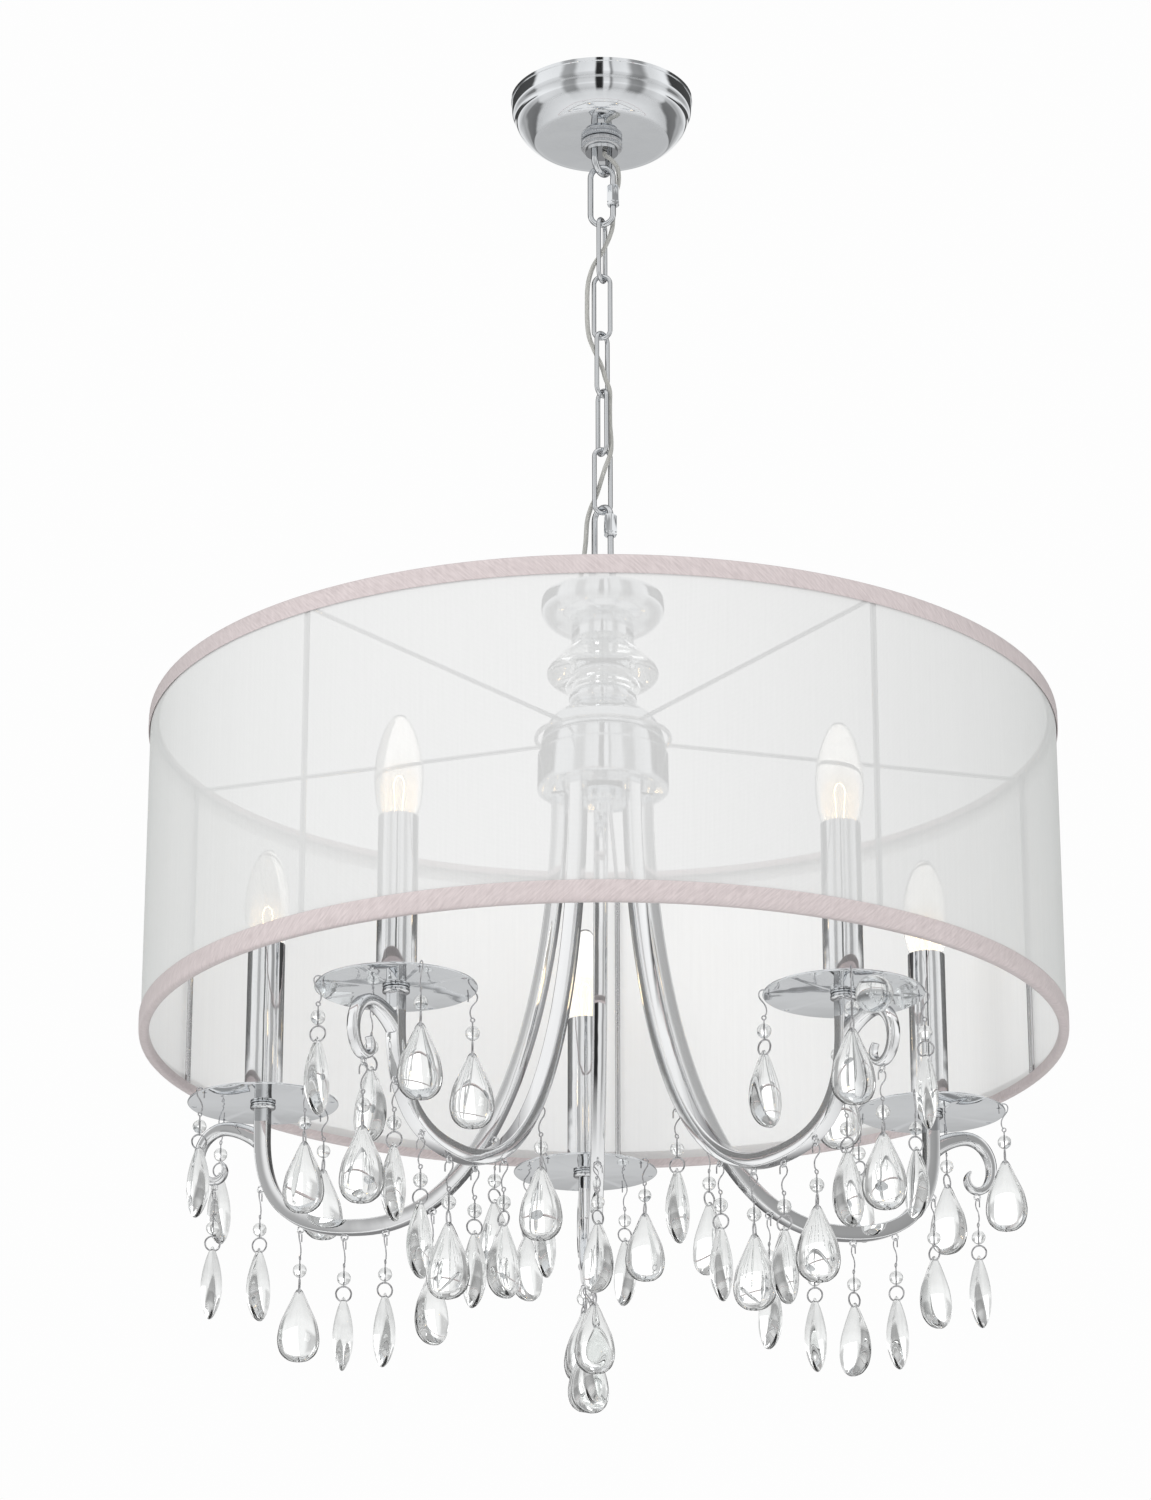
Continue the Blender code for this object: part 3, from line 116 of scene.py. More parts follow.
# Supply cord: the same route as the solid's
CORD_RADIUS = 0.0016
CORE_RADIUS = 0.00045
CORE_OFFSET = 0.0006
CORE_PITCH = 0.022
CORD_ROUTE = (
    (0.0022, -0.0026, -0.0425), (0.0022, -0.0026, -0.0448), (0.0068, -0.0044, -0.0495),
    (0.0112, -0.0008, -0.0545), (0.0118, 0.0052, -0.0630), (0.0086, 0.0074, -0.0760),
    (0.0080, 0.0066, -0.0890), (0.0070, 0.0044, -0.1000), (0.0036, 0.0006, -0.1120),
    (-0.0010, -0.0006, -0.1220), (-0.0062, -0.0014, -0.1315), (-0.0098, -0.0008, -0.1450),
    (-0.0104, 0.0000, -0.1620), (-0.0101, 0.0008, -0.1760), (-0.0088, 0.0018, -0.1850),
    (-0.0060, 0.0030, -0.1925), (-0.0030, 0.0022, -0.2000), (0.0000, 0.0000, -0.2085),
    (0.0022, -0.0016, -0.2175), (0.0051, -0.0010, -0.2265), (0.0052, -0.0005, -0.2380),
    (0.0053, -0.0007, -0.2520), (0.0061, -0.0020, -0.2650), (0.0055, -0.0031, -0.2752),
    (0.0020, -0.0020, -0.2850), (-0.0008, 0.0004, -0.2935), (-0.0040, 0.0030, -0.3035),
    (-0.0082, 0.0042, -0.3135), (-0.0106, 0.0036, -0.3240), (-0.0116, 0.0026, -0.3400),
    (-0.0140, 0.0010, -0.3600), (-0.0168, 0.0000, -0.3760), (-0.0170, 0.0000, -0.3850),
    (-0.0170, 0.0000, -0.3905),
)

# Column
COLUMN_LOOP_YAW = 30.0
COLUMN_LOOP_HALF_WIDTH = 0.0080
COLUMN_LOOP_WIRE = 0.0022
COLUMN_LOOP_BAR = -0.3549
COLUMN_NUT_RADIUS = 0.0110
COLUMN_NUT_HEIGHT = 0.0080
COLUMN_NUT_FOOT = -0.3905
DISH_TOP = -0.3813
DISH_RADIUS = 0.0420
DISH_LIP = 0.0018
DISH_BAND = 0.0133
DISH_FLOOR = 0.0095
DISH_BOWL = 0.0105
NECK_RADIUS = 0.0213
NECK_HEIGHT = 0.0085
BELL_TOP = -0.4139
BELL_RADIUS = 0.0378
BELL_HEIGHT = 0.0350
BELL_WALL = 0.0045
BELL_BORE = 0.0100
BELL_BORE_SHARE = 0.22
BELL_OUTER = (
    (0.53, 0.0), (0.62, 0.14), (0.80, 0.36), (0.95, 0.53), (1.0, 0.65), (0.96, 0.77), (0.82, 0.88),
    (0.68, 0.94), (0.65, 1.0),
)
BELL_INNER = ((0.60, 1.0), (0.62, 0.90), (0.62, 0.60), (0.48, 0.36))
TUBE_RADIUS = 0.0097
RING_TOP = -0.4492
RING_RADIUS = 0.0230
RING_HEIGHT = 0.0132
RING_FLAT = 0.72
HUB_TOP = -0.4627
HUB_TOP_RADIUS = 0.0200
HUB_RADIUS = 0.0443
HUB_DOME = 0.0295
HUB_BAND = 0.0288
HUB_UNDERSIDE = HUB_TOP - HUB_DOME - HUB_BAND
HUB_SHOULDER = 0.955
HUB_CREASE = HUB_BAND - 0.0030
HUB_RECESS = 0.0006
HUB_NUT_TOP = -0.5213
HUB_NUT_RADIUS = 0.0154
HUB_NUT_HEIGHT = 0.0090
HUB_STEM_RADIUS = 0.0060
HUB_STEM_HEIGHT = 0.0065

# Shade
SHADE_RADIUS = 0.3048
SHADE_RING_RADIUS = 0.3009
SHADE_WIRE = 0.0020
SHADE_RING_HEIGHTS = (-0.47875, -0.69705)
RIB_RADIUS = 0.3004
RIB_WIRE = 0.0018
SPIDER_RING_RADIUS = 0.04509
SPIDER_HEIGHT = -0.48355
SPOKE_WIRE = 0.0015
SPOKE_BEND = 0.2824
SPOKE_END = (0.3004, -0.48095)
FABRIC_RADIUS = 0.3035
FABRIC_TOP = -0.47675
FABRIC_HEIGHT = 0.2223
ORGANZA_ROWS = 25
ORGANZA_COLUMNS = 720
ORGANZA_WAVE = 0.00010
TRIM_WIDTH = 0.0130
TRIM_COLUMNS = 1440
TRIM_CREASE = 0.00004
# Round the trim's section: inset, share of its width, and height besides
TRIM_MARKS = (
    (0.0007, 0.985, 0.0), (0.0001, 1.0, 0.0), (0.0, 0.8, 0.0), (0.0, 0.5, 0.0), (0.0002, 0.2, 0.0),
    (0.0012, 0.0, 0.0005), (0.00345, 0.0, 0.0), (0.0059, 0.0, 0.0005), (0.0069, 0.0, 0.0030),
    (0.0069, 0.42, 0.0),
)
TRIM_TOP = -0.47575
TRIM_BOTTOM = -0.70005

# Arms
ARM_TOP = (0.0300, 0.0)
ARM_PULLS = ((0.0300, -0.1260), (0.0656, -0.2894))
ARM_LOW = (0.1636, -0.2894)
ARM_OUTER_PULLS = ((0.2066, -0.2894), (0.2355, -0.2750))
ARM_TURN = (0.2355, -0.2210)
ARM_SIDE = 0.0095
LIGHT_RADIUS = 0.2355
DISC_UNDERSIDE = -0.7213
DISC_THICKNESS = 0.0014
DISC_RADIUS = 0.0505
DISC_ROLL = 0.0012
DISC_HOLES = 0.0468
DISC_HOLE_RADIUS = 0.0017
DISC_HOLE_PHASE = 8.0
TUBE_NUT_RADIUS = 0.0085
TUBE_NUT_HEIGHT = 0.0030
TUBE_NUT_MARKS = (
    (0.0004, 0.0), (0.0, 0.0005), (0.0, 0.0011), (0.0008, 0.0014), (0.0, 0.0017), (0.0, 0.0025),
    (0.0006, TUBE_NUT_HEIGHT),
)
SCROLL_MARKS = (
    (0.0020, 0.0245), (0.0265, 0.0152), (0.0440, 0.0350), (0.0330, 0.0508), (0.0255, 0.0435),
    (0.0280, 0.0380),
)
SCROLL_WIDTHS = (0.0125, 0.0085, 0.0066, 0.0050, 0.0036, 0.0014)
SCROLL_ROOT_THICKNESS = 0.0094
SCROLL_TIP_THICKNESS = 0.0055
EYE_RADIUS = 0.0022
EYE_WIRE = 0.0006
EYE_SINK = 0.0004
SLEEVE_FOOT = -0.7196
SLEEVE_RADIUS = 0.0127
SLEEVE_HEIGHT = 0.1100
SLEEVE_RIM = SLEEVE_FOOT + SLEEVE_HEIGHT
SLEEVE_WALL = 0.0010
SOCKET_DEPTH = 0.0280
BULB_RADIUS = 0.0155
BULB_HEIGHT = 0.0680
BULB_PROFILE = (
    (0.0, 1.0), (0.15, 0.994), (0.30, 0.970), (0.52, 0.895), (0.75, 0.765), (0.93, 0.590),
    (1.0, 0.400), (0.96, 0.220), (0.84, 0.080), (0.66, -0.020),
)
BULB_INNER_SHARES = (0.965, 0.985)
BULB_BASE = ((0.0078, -0.001), (0.0060, -0.006), (0.0060, -0.0277))
FILAMENT_HEIGHT = 0.020
FILAMENT_SIZE = (0.0034, 0.0075)
FILAMENT_FOOT = 0.0022
FILAMENT_WIRE = 0.00035
GLOW_SHARES = (0.80, 0.72)
GLOW_FULL = 0.014
GLOW_GONE = 0.046

# Strands
HOOK_CROWN = 0.00135
HOOK_RADIUS = 0.0030
HOOK_TAIL = 0.0036
HOOK_LENGTH = 0.0158
HOOK_WIRE = 0.00045
HOOK_LOOP_RADIUS = 0.0013
HOOK_LOOP_DROP = 0.0010
BEAD_RADIUS = 0.0046
BEAD_CENTRE = -0.0253
BEAD_LEVELS = (0.0, 20.0, 34.0, 50.0, 70.0, 90.0, 110.0, 130.0, 146.0, 160.0, 180.0)
BEAD_TWIST = 11.0
PIN_END = -0.0315
RING_CENTRE = -0.0359
DROP_RING_RADIUS = 0.0050
DROP_RING_WIRE = 0.0006
DROP_TOP = -0.0377
DROP_LENGTH = 0.0490
DROP_WIDTH = 0.0276
DROP_THICKNESS = 0.0138
DROP_FULLNESS = 1.15
DROP_EDGE = 1.15
DROP_ROUNDNESS = 0.60
DROP_SHARES = (
    (0.0, 0.0), (0.12, 0.012), (0.26, 0.075), (0.46, 0.20), (0.70, 0.345), (0.88, 0.47),
    (1.0, 0.66),
)
DROP_FOOT_SHARES = ((0.965, 0.79), (0.81, 0.895), (0.50, 0.970), (0.24, 0.993), (0.0, 1.0))
ARM_EYES = (
    (0.2375, -0.7826), (0.2090, -0.8100), (0.1780, -0.8200), (0.1463, -0.8163), (0.1144, -0.8023),
    (0.0690, -0.7628),
)
CAD_EYE = 2
CAD_HOLE = 53.0
HOLE_ANGLES = (143.0, 233.0, 323.0)
HOOK_PIVOT_RADIUS = 0.0498
PIVOT_HEIGHT = -0.719869
CAD_ARM_TWIST = 20.0
CAD_HOLE_TWIST = 75.0
BALL_RADIUS = 0.0117
BALL_PLACE = (0.2815, -0.0168, -0.7352)
BALL_WIRE_SINK = 0.0006
# Directions of the drops' broad sides for each light: five plain eyes, three holes, and the scroll
DROP_YAWS = (
    (48, 4, -12, 72, 68, 2, 46, 8, 5), (40, 69, 72, 110, -42, 50, 112, -8, 70),
    (6, -10, 68, 12, -46, 72, 8, 112, 14), (71, 6, 108, 42, -50, -6, 12, 72, 106),
    (72, 68, 111, 44, -5, 3, -44, 71, -4),
)

# Metals: slot, clean colour, dull colour, roughness and ripple; for some also the smudges' scale,
# how far a painted dark reflection darkens the outline, and between which slants
# Painted dark reflection: the tone that rods, tubes and arms darken to towards their outlines
PAINTED_REFLECTION_TONE = (0.10, 0.10, 0.11)
CHROME = ("chrome", (0.85, 0.87, 0.89), (0.75, 0.77, 0.79))
TUBE_SHEEN = ("chrome", (0.90, 0.91, 0.92), (0.80, 0.81, 0.82), (0.02, 0.10), 0.10)
ARM_SHEEN = ("chrome", (0.96, 0.965, 0.97), (0.90, 0.91, 0.92), (0.01, 0.05), 0.03)
METALS = {
    "chrome": (*CHROME, (0.015, 0.07), 0.05),
    "chrome_rod": (*CHROME, (0.02, 0.09), 0.05, 30.0, 0.80),
    "chrome_tube": (*TUBE_SHEEN, 30.0, 0.65, (0.40, 0.85)),
    "chrome_arm": (*ARM_SHEEN, 30.0, 0.92, (0.46, 0.70)),
    "satin_chrome": ("chrome", (0.74, 0.75, 0.76), (0.60, 0.61, 0.63), (0.18, 0.34), 0.10),
    "zinc_steel": ("chrome", (0.66, 0.67, 0.70), (0.50, 0.51, 0.54), (0.25, 0.55), 0.15, 90.0),
    "satin_wire": ("satin_wire", (0.72, 0.72, 0.72), (0.58, 0.58, 0.59), (0.15, 0.35), 0.05),
    "hook_wire": ("chrome", (0.62, 0.62, 0.63), (0.48, 0.48, 0.49), (0.10, 0.25), 0.05),
    "cord_core": ("clear_cord", (0.70, 0.69, 0.66), (0.52, 0.51, 0.48), (0.25, 0.45), 0.10),
}

# Camera
CAMERA_PLACE = (-0.0185, -2.93885, -1.58304)
CAMERA_TILT = 0.3556
CAMERA_LENS = 111.84

# Studio: levels by height, where 0.5 is the horizon, and panels by their turn in degrees from the
# photographed side
FRONT_LEVELS = ((0.0, 0.52), (0.20, 0.66), (0.35, 0.80), (0.50, 0.84), (0.60, 1.0), (1.0, 0.90))
BACK_LEVELS = (
    (0.0, 0.56), (0.20, 0.56), (0.265, 0.61), (0.350, 0.71), (0.44, 0.52), (0.51, 0.72),
    (0.57, 0.95), (0.66, 1.0), (1.0, 0.90),
)
PANELS = (
    (-180, 0.92), (-80, 1.0), (-56, 0.95), (-47, 0.44), (-36, 0.40), (-28, 0.85), (-9, 0.92),
    (-6, 0.03), (1, 0.03), (3, 1.0), (8, 1.0), (11, 0.30), (15, 0.85), (30, 0.92), (40, 0.36),
    (51, 0.32), (62, 0.82), (85, 1.0), (180, 0.92),
)
PANEL_REACH = ((0.0, 0.8), (0.10, 0.7), (0.24, 0.0), (0.74, 0.0), (0.90, 1.0))
SIDE_FLAGS = (
    (-168, 1.0), (-158, 0.06), (-98, 0.08), (-88, 1.0), (88, 1.0), (98, 0.06), (158, 0.08),
    (168, 1.0),
)
FLAG_REACH = (
    (0.0, 1.0), (0.22, 1.0), (0.26, 0.3), (0.36, 0.3), (0.42, 0.85), (0.60, 1.0), (0.64, 0.0),
    (0.76, 0.0), (0.84, 1.0),
)
EVEN_LEVEL = 0.84
BACKDROP_LEVEL = 0.985
# Lamps: name, place, size in metres and power in watts
LAMPS = (
    ("key", (-2.2, -2.4, 0.9), 1.6, 24.0),
    ("fill", (2.6, -1.6, 0.1), 1.8, 6.0),
    ("back", (0.6, 2.6, 0.7), 2.0, 10.0),
)
LAMP_AIM = (0.0, 0.0, -0.55)
FLOOR_HALF = 6.0
FLOOR_HEIGHT = -2.4


# --- Forms: pairs of points and faces -------------------------------------------------------------


def grid_faces(rows, columns, close_rows=False, close_columns=True):
    """Quads of a grid of points that are numbered row by row."""
    row, column = np.meshgrid(
        np.arange(rows if close_rows else rows - 1),
        np.arange(columns if close_columns else columns - 1),
        indexing="ij",
    )
    row, column = row.ravel(), column.ravel()
    below, beside = (row + 1) % rows, (column + 1) % columns
    near, far = row * columns, below * columns
    return np.stack((near + column, near + beside, far + beside, far + column), axis=1).tolist()


def skin(rings, close_rows=False, caps=True):
    """A skin through rings of points, with a flat cap on each end unless the rings join up."""
    rows, columns = rings.shape[:2]
    faces = grid_faces(rows, columns, close_rows)
    if caps and not close_rows:
        faces.append(list(range(columns)))
        faces.append(list(range((rows - 1) * columns, rows * columns)))
    return rings.reshape(-1, 3), faces


def turned(profile, steps=96, closed=False):
    """What a profile of (radius, height) points sweeps about the Z axis."""
    profile = np.array(profile, dtype=float)
    angle = 2 * np.pi * np.arange(steps) / steps
    radius, height = profile[:, :1], profile[:, 1:]
    rings = np.stack(
        (radius * np.cos(angle), radius * np.sin(angle), np.repeat(height, steps, axis=1)), axis=2
    )
    return skin(rings, close_rows=closed, caps=False)


def carried(path, section, normal=(0.0, 1.0, 0.0), closed=False):
    """A section of (across, up) points carried along a flat path whose plane has the given normal."""
    path = np.array(path, dtype=float)
    normal = np.array(normal, dtype=float)
    if closed:
        run = np.roll(path, -1, axis=0) - np.roll(path, 1, axis=0)
    else:
        run = np.gradient(path, axis=0)
    run /= np.linalg.norm(run, axis=1, keepdims=True)
    side = np.cross(run, normal)
    section = np.broadcast_to(section, (len(path),) + np.shape(section)[-2:])
    rings = path[:, None] + section[..., :1] * normal + section[..., 1:] * side[:, None]
    return skin(rings, close_rows=closed)


def circle(radius, steps=12):
    angle = 2 * np.pi * np.arange(steps) / steps
    return np.stack((radius * np.cos(angle), radius * np.sin(angle)), axis=1)


def soft_box(width, height, corner=0.10, steps=4):
    """A rectangle with round corners, whose radius is a share of its smaller side."""
    radius = corner * min(width, height)
    turn = np.pi / 2 * (np.arange(steps + 1) / steps + np.arange(4)[:, None]).ravel()
    quadrant = np.repeat(np.arange(4), steps + 1)
    right = np.array((1, -1, -1, 1))[quadrant]
    upper = np.array((1, 1, -1, -1))[quadrant]
    across = right * (width / 2 - radius) + radius * np.cos(turn)
    up = upper * (height / 2 - radius) + radius * np.sin(turn)
    return np.stack((across, up), axis=1)


def placed(form, yaw=0.0, move=(0.0, 0.0, 0.0)):
    """The form turned about Z and then moved."""
    points, faces = form
    cos, sin = math.cos(math.radians(yaw)), math.sin(math.radians(yaw))
    matrix = np.array(((cos, -sin, 0.0), (sin, cos, 0.0), (0, 0, 1)))
    return points @ matrix.T + np.array(move, dtype=float), faces


def bezier(start, pull, push, end, steps):
    """Points on a cubic curve, without its start."""
    share = (np.arange(1, steps + 1) / steps)[:, None]
    start, pull, push, end = (np.array(p, dtype=float) for p in (start, pull, push, end))
    rest = 1 - share
    return rest**3 * start + 3 * rest**2 * share * pull + 3 * rest * share**2 * push + share**3 * end


def quarter(start, end, rises_first, steps):
    """A quarter of an ellipse between two points, without its start."""
    turn = np.pi / 2 * np.arange(1, steps + 1) / steps
    slow, fast = 1 - np.cos(turn), np.sin(turn)
    across, up = (slow, fast) if rises_first else (fast, slow)
    places = (start[0] + (end[0] - start[0]) * across, start[1] + (end[1] - start[1]) * up)
    return np.stack(places, axis=1)


def spline(points, steps=6):
    """A smooth curve through points: each span bends by its neighbours on either side."""
    points = np.array(points, dtype=float)
    padded = np.vstack((2 * points[0] - points[1], points, 2 * points[-1] - points[-2]))
    share = (np.arange(steps) / steps)[:, None]
    spans = []
    for a, b, c, d in zip(padded, padded[1:], padded[2:], padded[3:]):
        bend = (2 * a - 5 * b + 4 * c - d) * share**2 + (3 * b - a - 3 * c + d) * share**3
        spans.append(b + (c - a) * share / 2 + bend / 2)
    return np.vstack(spans + [points[-1:]])


def eased(profile, radius, steps=3):
    """The profile with each corner between its ends rounded over the given length."""
    profile = np.array(profile, dtype=float)
    points = [profile[:1]]
    for before, corner, after in zip(profile, profile[1:], profile[2:]):
        back, on = before - corner, after - corner
        back_length, on_length = np.linalg.norm(back), np.linalg.norm(on)
        start = corner + back / back_length * min(radius, back_length / 2.1)
        end = corner + on / on_length * min(radius, on_length / 2.1)
        share = (np.arange(steps + 1) / steps)[:, None]
        points.append((1 - share) ** 2 * start + 2 * share * (1 - share) * corner + share**2 * end)
    points.append(profile[-1:])
    return np.vstack(points)


def in_plane(points):
    """(outwards, up) points as points of the XZ plane."""
    points = np.array(points, dtype=float)
    return np.stack((points[:, 0], np.zeros(len(points)), points[:, 1]), axis=1)


def outwards_yaw(azimuth):
    """The turn about Z that brings X to an azimuth."""
    return azimuth - 90.0


# --- Objects --------------------------------------------------------------------------------------


def in_scene(name, data):
    obj = bpy.data.objects.new(name, data)
    bpy.context.scene.collection.objects.link(obj)
    return obj


def add(name, mesh, look, stands_for=(), body="fixture"):
    """An object of the mesh, which rides a body where one is given and stands for CAD nodes."""
    material, slot = look
    obj = in_scene(name, mesh)
    mesh.materials.append(material)
    if body:
        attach(obj, body)
    if stands_for:
        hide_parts(*stands_for)
    return obj


def joined(forms):
    """Several forms as one."""
    points, faces, count = [], [], 0
    for form_points, form_faces in forms:
        faces += [[corner + count for corner in face] for face in form_faces]
        points.append(form_points)
        count += len(form_points)
    return np.vstack(points), faces


def closed_up(mesh):
    """Merges the mesh's doubles and turns its faces outward."""
    work = bmesh.new()
    work.from_mesh(mesh)
    bmesh.ops.remove_doubles(work, verts=work.verts, dist=0.000001)
    bmesh.ops.recalc_face_normals(work, faces=work.faces)
    work.to_mesh(mesh)
    work.free()


def mesh_of(name, form):
    mesh = bpy.data.meshes.new(name)
    mesh.from_pydata(form[0], [], form[1])
    closed_up(mesh)
    return mesh


def make(name, forms, look, stands_for=(), body="fixture", sharp=35.0):
    """One smooth object from forms, in which edges over the sharp angle stay sharp."""
    mesh = mesh_of(name, joined(forms))
    mesh.polygons.foreach_set("use_smooth", np.ones(len(mesh.polygons), dtype=bool))
    mesh.set_sharp_from_angle(angle=math.radians(sharp))
    return add(name, mesh, look, stands_for, body)


# --- Materials ------------------------------------------------------------------------------------


def feed(tree, made, sockets):
    """Sets each of a node's sockets to a value, or links it to another node's socket."""
    for key, value in sockets.items():
        if isinstance(value, bpy.types.NodeSocket):
            tree.links.new(value, made.inputs[key])
        else:
            made.inputs[key].default_value = value


def node(tree, kind, sockets=None, **settings):
    made = tree.nodes.new(kind)
    for key, value in settings.items():
        setattr(made, key, value)
    feed(tree, made, sockets or {})
    return made


def math_node(tree, operation, *values):
    """The result of a Math node whose inputs are values or sockets."""
    return node(tree, "ShaderNodeMath", dict(enumerate(values)), operation=operation).outputs[0]


def spread(tree, value, low, high, start=0.0, end=1.0, **settings):
    """A value from start to end, mapped onto low to high."""
    sockets = {"Value": value, "From Min": start, "From Max": end, "To Min": low, "To Max": high}
    return node(tree, "ShaderNodeMapRange", sockets, **settings).outputs["Result"]


def mixed(tree, factor, first, second, kind="FLOAT"):
    sockets = {"Factor": factor, "A": first, "B": second}
    return node(tree, "ShaderNodeMix", sockets, data_type=kind).outputs["Result"]


def toned(tree, factor, first, second):
    """A mix of two colours, each given by its red, green and blue or by a socket."""
    first, second = ((*tone, 1.0) if isinstance(tone, tuple) else tone for tone in (first, second))
    return mixed(tree, factor, first, second, "RGBA")


def ramp(tree, value, stops, interpolation="EASE"):
    """A ramp through stops, each a place and a grey level or a colour."""
    made = node(tree, "ShaderNodeValToRGB", {"Fac": value})
    made.color_ramp.interpolation = interpolation
    elements = made.color_ramp.elements
    while len(elements) < len(stops):
        elements.new(0.5)
    for element, (place, _) in zip(elements, stops):
        element.position = place
    for element, (_, tone) in zip(elements, stops):
        element.color = (*tone, 1.0) if isinstance(tone, tuple) else (tone, tone, tone, 1.0)
    return made.outputs["Color"]


def noise(tree, place, scale, detail):
    sockets = {"Vector": place, "Scale": scale, "Detail": detail}
    return node(tree, "ShaderNodeTexNoise", sockets).outputs["Fac"]


def bump(tree, height, strength, distance):
    sockets = {"Height": height, "Strength": strength, "Distance": distance}
    return node(tree, "ShaderNodeBump", sockets).outputs["Normal"]


def facing(tree, blend=0.5):
    """How far a surface is turned away from the eye: 0 towards it, 1 along it."""
    return node(tree, "ShaderNodeLayerWeight", {"Blend": blend}).outputs["Facing"]


def backfacing(tree):
    return node(tree, "ShaderNodeNewGeometry").outputs["Backfacing"]


def object_place(tree):
    return node(tree, "ShaderNodeTexCoord").outputs["Object"]


def group(name, inputs, outputs):
    """An empty node group with float inputs, or a vector where no value is given, and named outputs."""
    tree = bpy.data.node_groups.new(name, "ShaderNodeTree")
    for label, value in inputs.items():
        kind = "NodeSocketVector" if value is None else "NodeSocketFloat"
        socket = tree.interface.new_socket(label, in_out="INPUT", socket_type=kind)
        if value is not None:
            socket.default_value = value
    for label, kind in outputs.items():
        tree.interface.new_socket(label, in_out="OUTPUT", socket_type=kind)
    return tree, node(tree, "NodeGroupInput").outputs, node(tree, "NodeGroupOutput")


def polish_group():
    """Handled metal or glass: cloudy smudges, and a faint ripple in the surface."""
    outputs = {"Smudge": "NodeSocketFloat", "Normal": "NodeSocketVector"}
    tree, given, result = group("polish", {"Scale": 30.0, "Ripple": 0.05}, outputs)
    place = object_place(tree)
    cloud = noise(tree, place, given["Scale"], 5.0)
    grain = spread(tree, noise(tree, place, 900.0, 2.0), 0.7, 1.3)
    ripple = bump(tree, noise(tree, place, 55.0, 1.0), given["Ripple"], 0.004)
    feed(tree, result, {"Smudge": math_node(tree, "MULTIPLY", cloud, grain), "Normal": ripple})
    return tree


def weave_group():
    """Plain weave from a UV map in metres: threads each way, thicker and thinner at random."""
    outputs = {"Threads": "NodeSocketFloat", "Slub": "NodeSocketFloat"}
    tree, given, result = group("weave", {"Place": None, "Pitch": 0.0006}, outputs)
    count = math_node(tree, "DIVIDE", 2 * math.pi, given["Pitch"])
    parts = node(tree, "ShaderNodeSeparateXYZ", {"Vector": given["Place"]}).outputs
    waves = []
    for part in (parts["X"], parts["Y"]):
        wave = math_node(tree, "SINE", math_node(tree, "MULTIPLY", part, count))
        waves.append(math_node(tree, "MULTIPLY_ADD", wave, 0.5, 0.5))
    along = node(tree, "ShaderNodeMapping", {"Vector": given["Place"], "Scale": (420.0, 9.0, 1.0)})
    slub = noise(tree, along.outputs["Vector"], 1.0, 3.0)
    feed(tree, result, {"Threads": math_node(tree, "MAXIMUM", *waves), "Slub": slub})
    return tree


def principled(name, **sockets):
    """A material with one Principled shader, and its tree, to which the caller links more."""
    look = bpy.data.materials.new(name)
    look.use_nodes = True
    shader = look.node_tree.nodes["Principled BSDF"]
    feed(look.node_tree, shader, {key.replace("_", " "): value for key, value in sockets.items()})
    return look, look.node_tree, shader


def handled(tree, shader, polish, scale, ripple, roughness):
    """Ripples a shader's surface, roughens it where it is smudged, and returns its smudges."""
    marks = node(tree, "ShaderNodeGroup", {"Scale": scale, "Ripple": ripple}, node_tree=polish).outputs
    smudge = marks["Smudge"]
    feed(tree, shader, {"Roughness": spread(tree, smudge, *roughness), "Normal": marks["Normal"]})
    return smudge


def metal(name, polish, clean, dull, roughness, ripple, scale=30.0, outline=0.0, slants=(0.22, 0.62)):
    """Plated metal: its smudges are duller and rougher, and a thin rod darkens towards its outline with
    a painted dark reflection.
    """
    look, tree, shader = principled(name, Metallic=1.0)
    tone = toned(tree, handled(tree, shader, polish, scale, ripple, roughness), clean, dull)
    # Painted reflection: the colour darkens towards the outline, where dark panels would be mirrored
    if outline:
        tone = toned(tree, spread(tree, facing(tree), 0.0, outline, *slants), tone, PAINTED_REFLECTION_TONE)
    feed(tree, shader, {"Base Color": tone})
    return look


def glass(name, polish, colour, roughness, ripple):
    """Clear glass with the faint ripple and finger marks of a handled drop."""
    colour = (*colour, 1.0)
    look, tree, shader = principled(
        name, Metallic=0.0, IOR=1.5, Transmission_Weight=1.0, Base_Color=colour
    )
    handled(tree, shader, polish, 120.0, ripple, roughness)
    return look


def jacket_look(polish):
    """The cord's clear jacket, a little cloudy."""
    look, tree, shader = principled("clear_cord", Metallic=0.0, IOR=1.45, Transmission_Weight=0.35)
    smudge = handled(tree, shader, polish, 80.0, 0.1, (0.05, 0.25))
    feed(tree, shader, {"Base Color": toned(tree, smudge, (0.74, 0.74, 0.71), (0.58, 0.58, 0.55))})
    return look


def woven(tree, weave, pitch):
    """The place on a cloth in metres, and its threads and slubs there."""
    place = node(tree, "ShaderNodeUVMap", uv_map="metres").outputs["UV"]
    sockets = {"Place": place, "Pitch": pitch}
    return place, node(tree, "ShaderNodeGroup", sockets, node_tree=weave).outputs


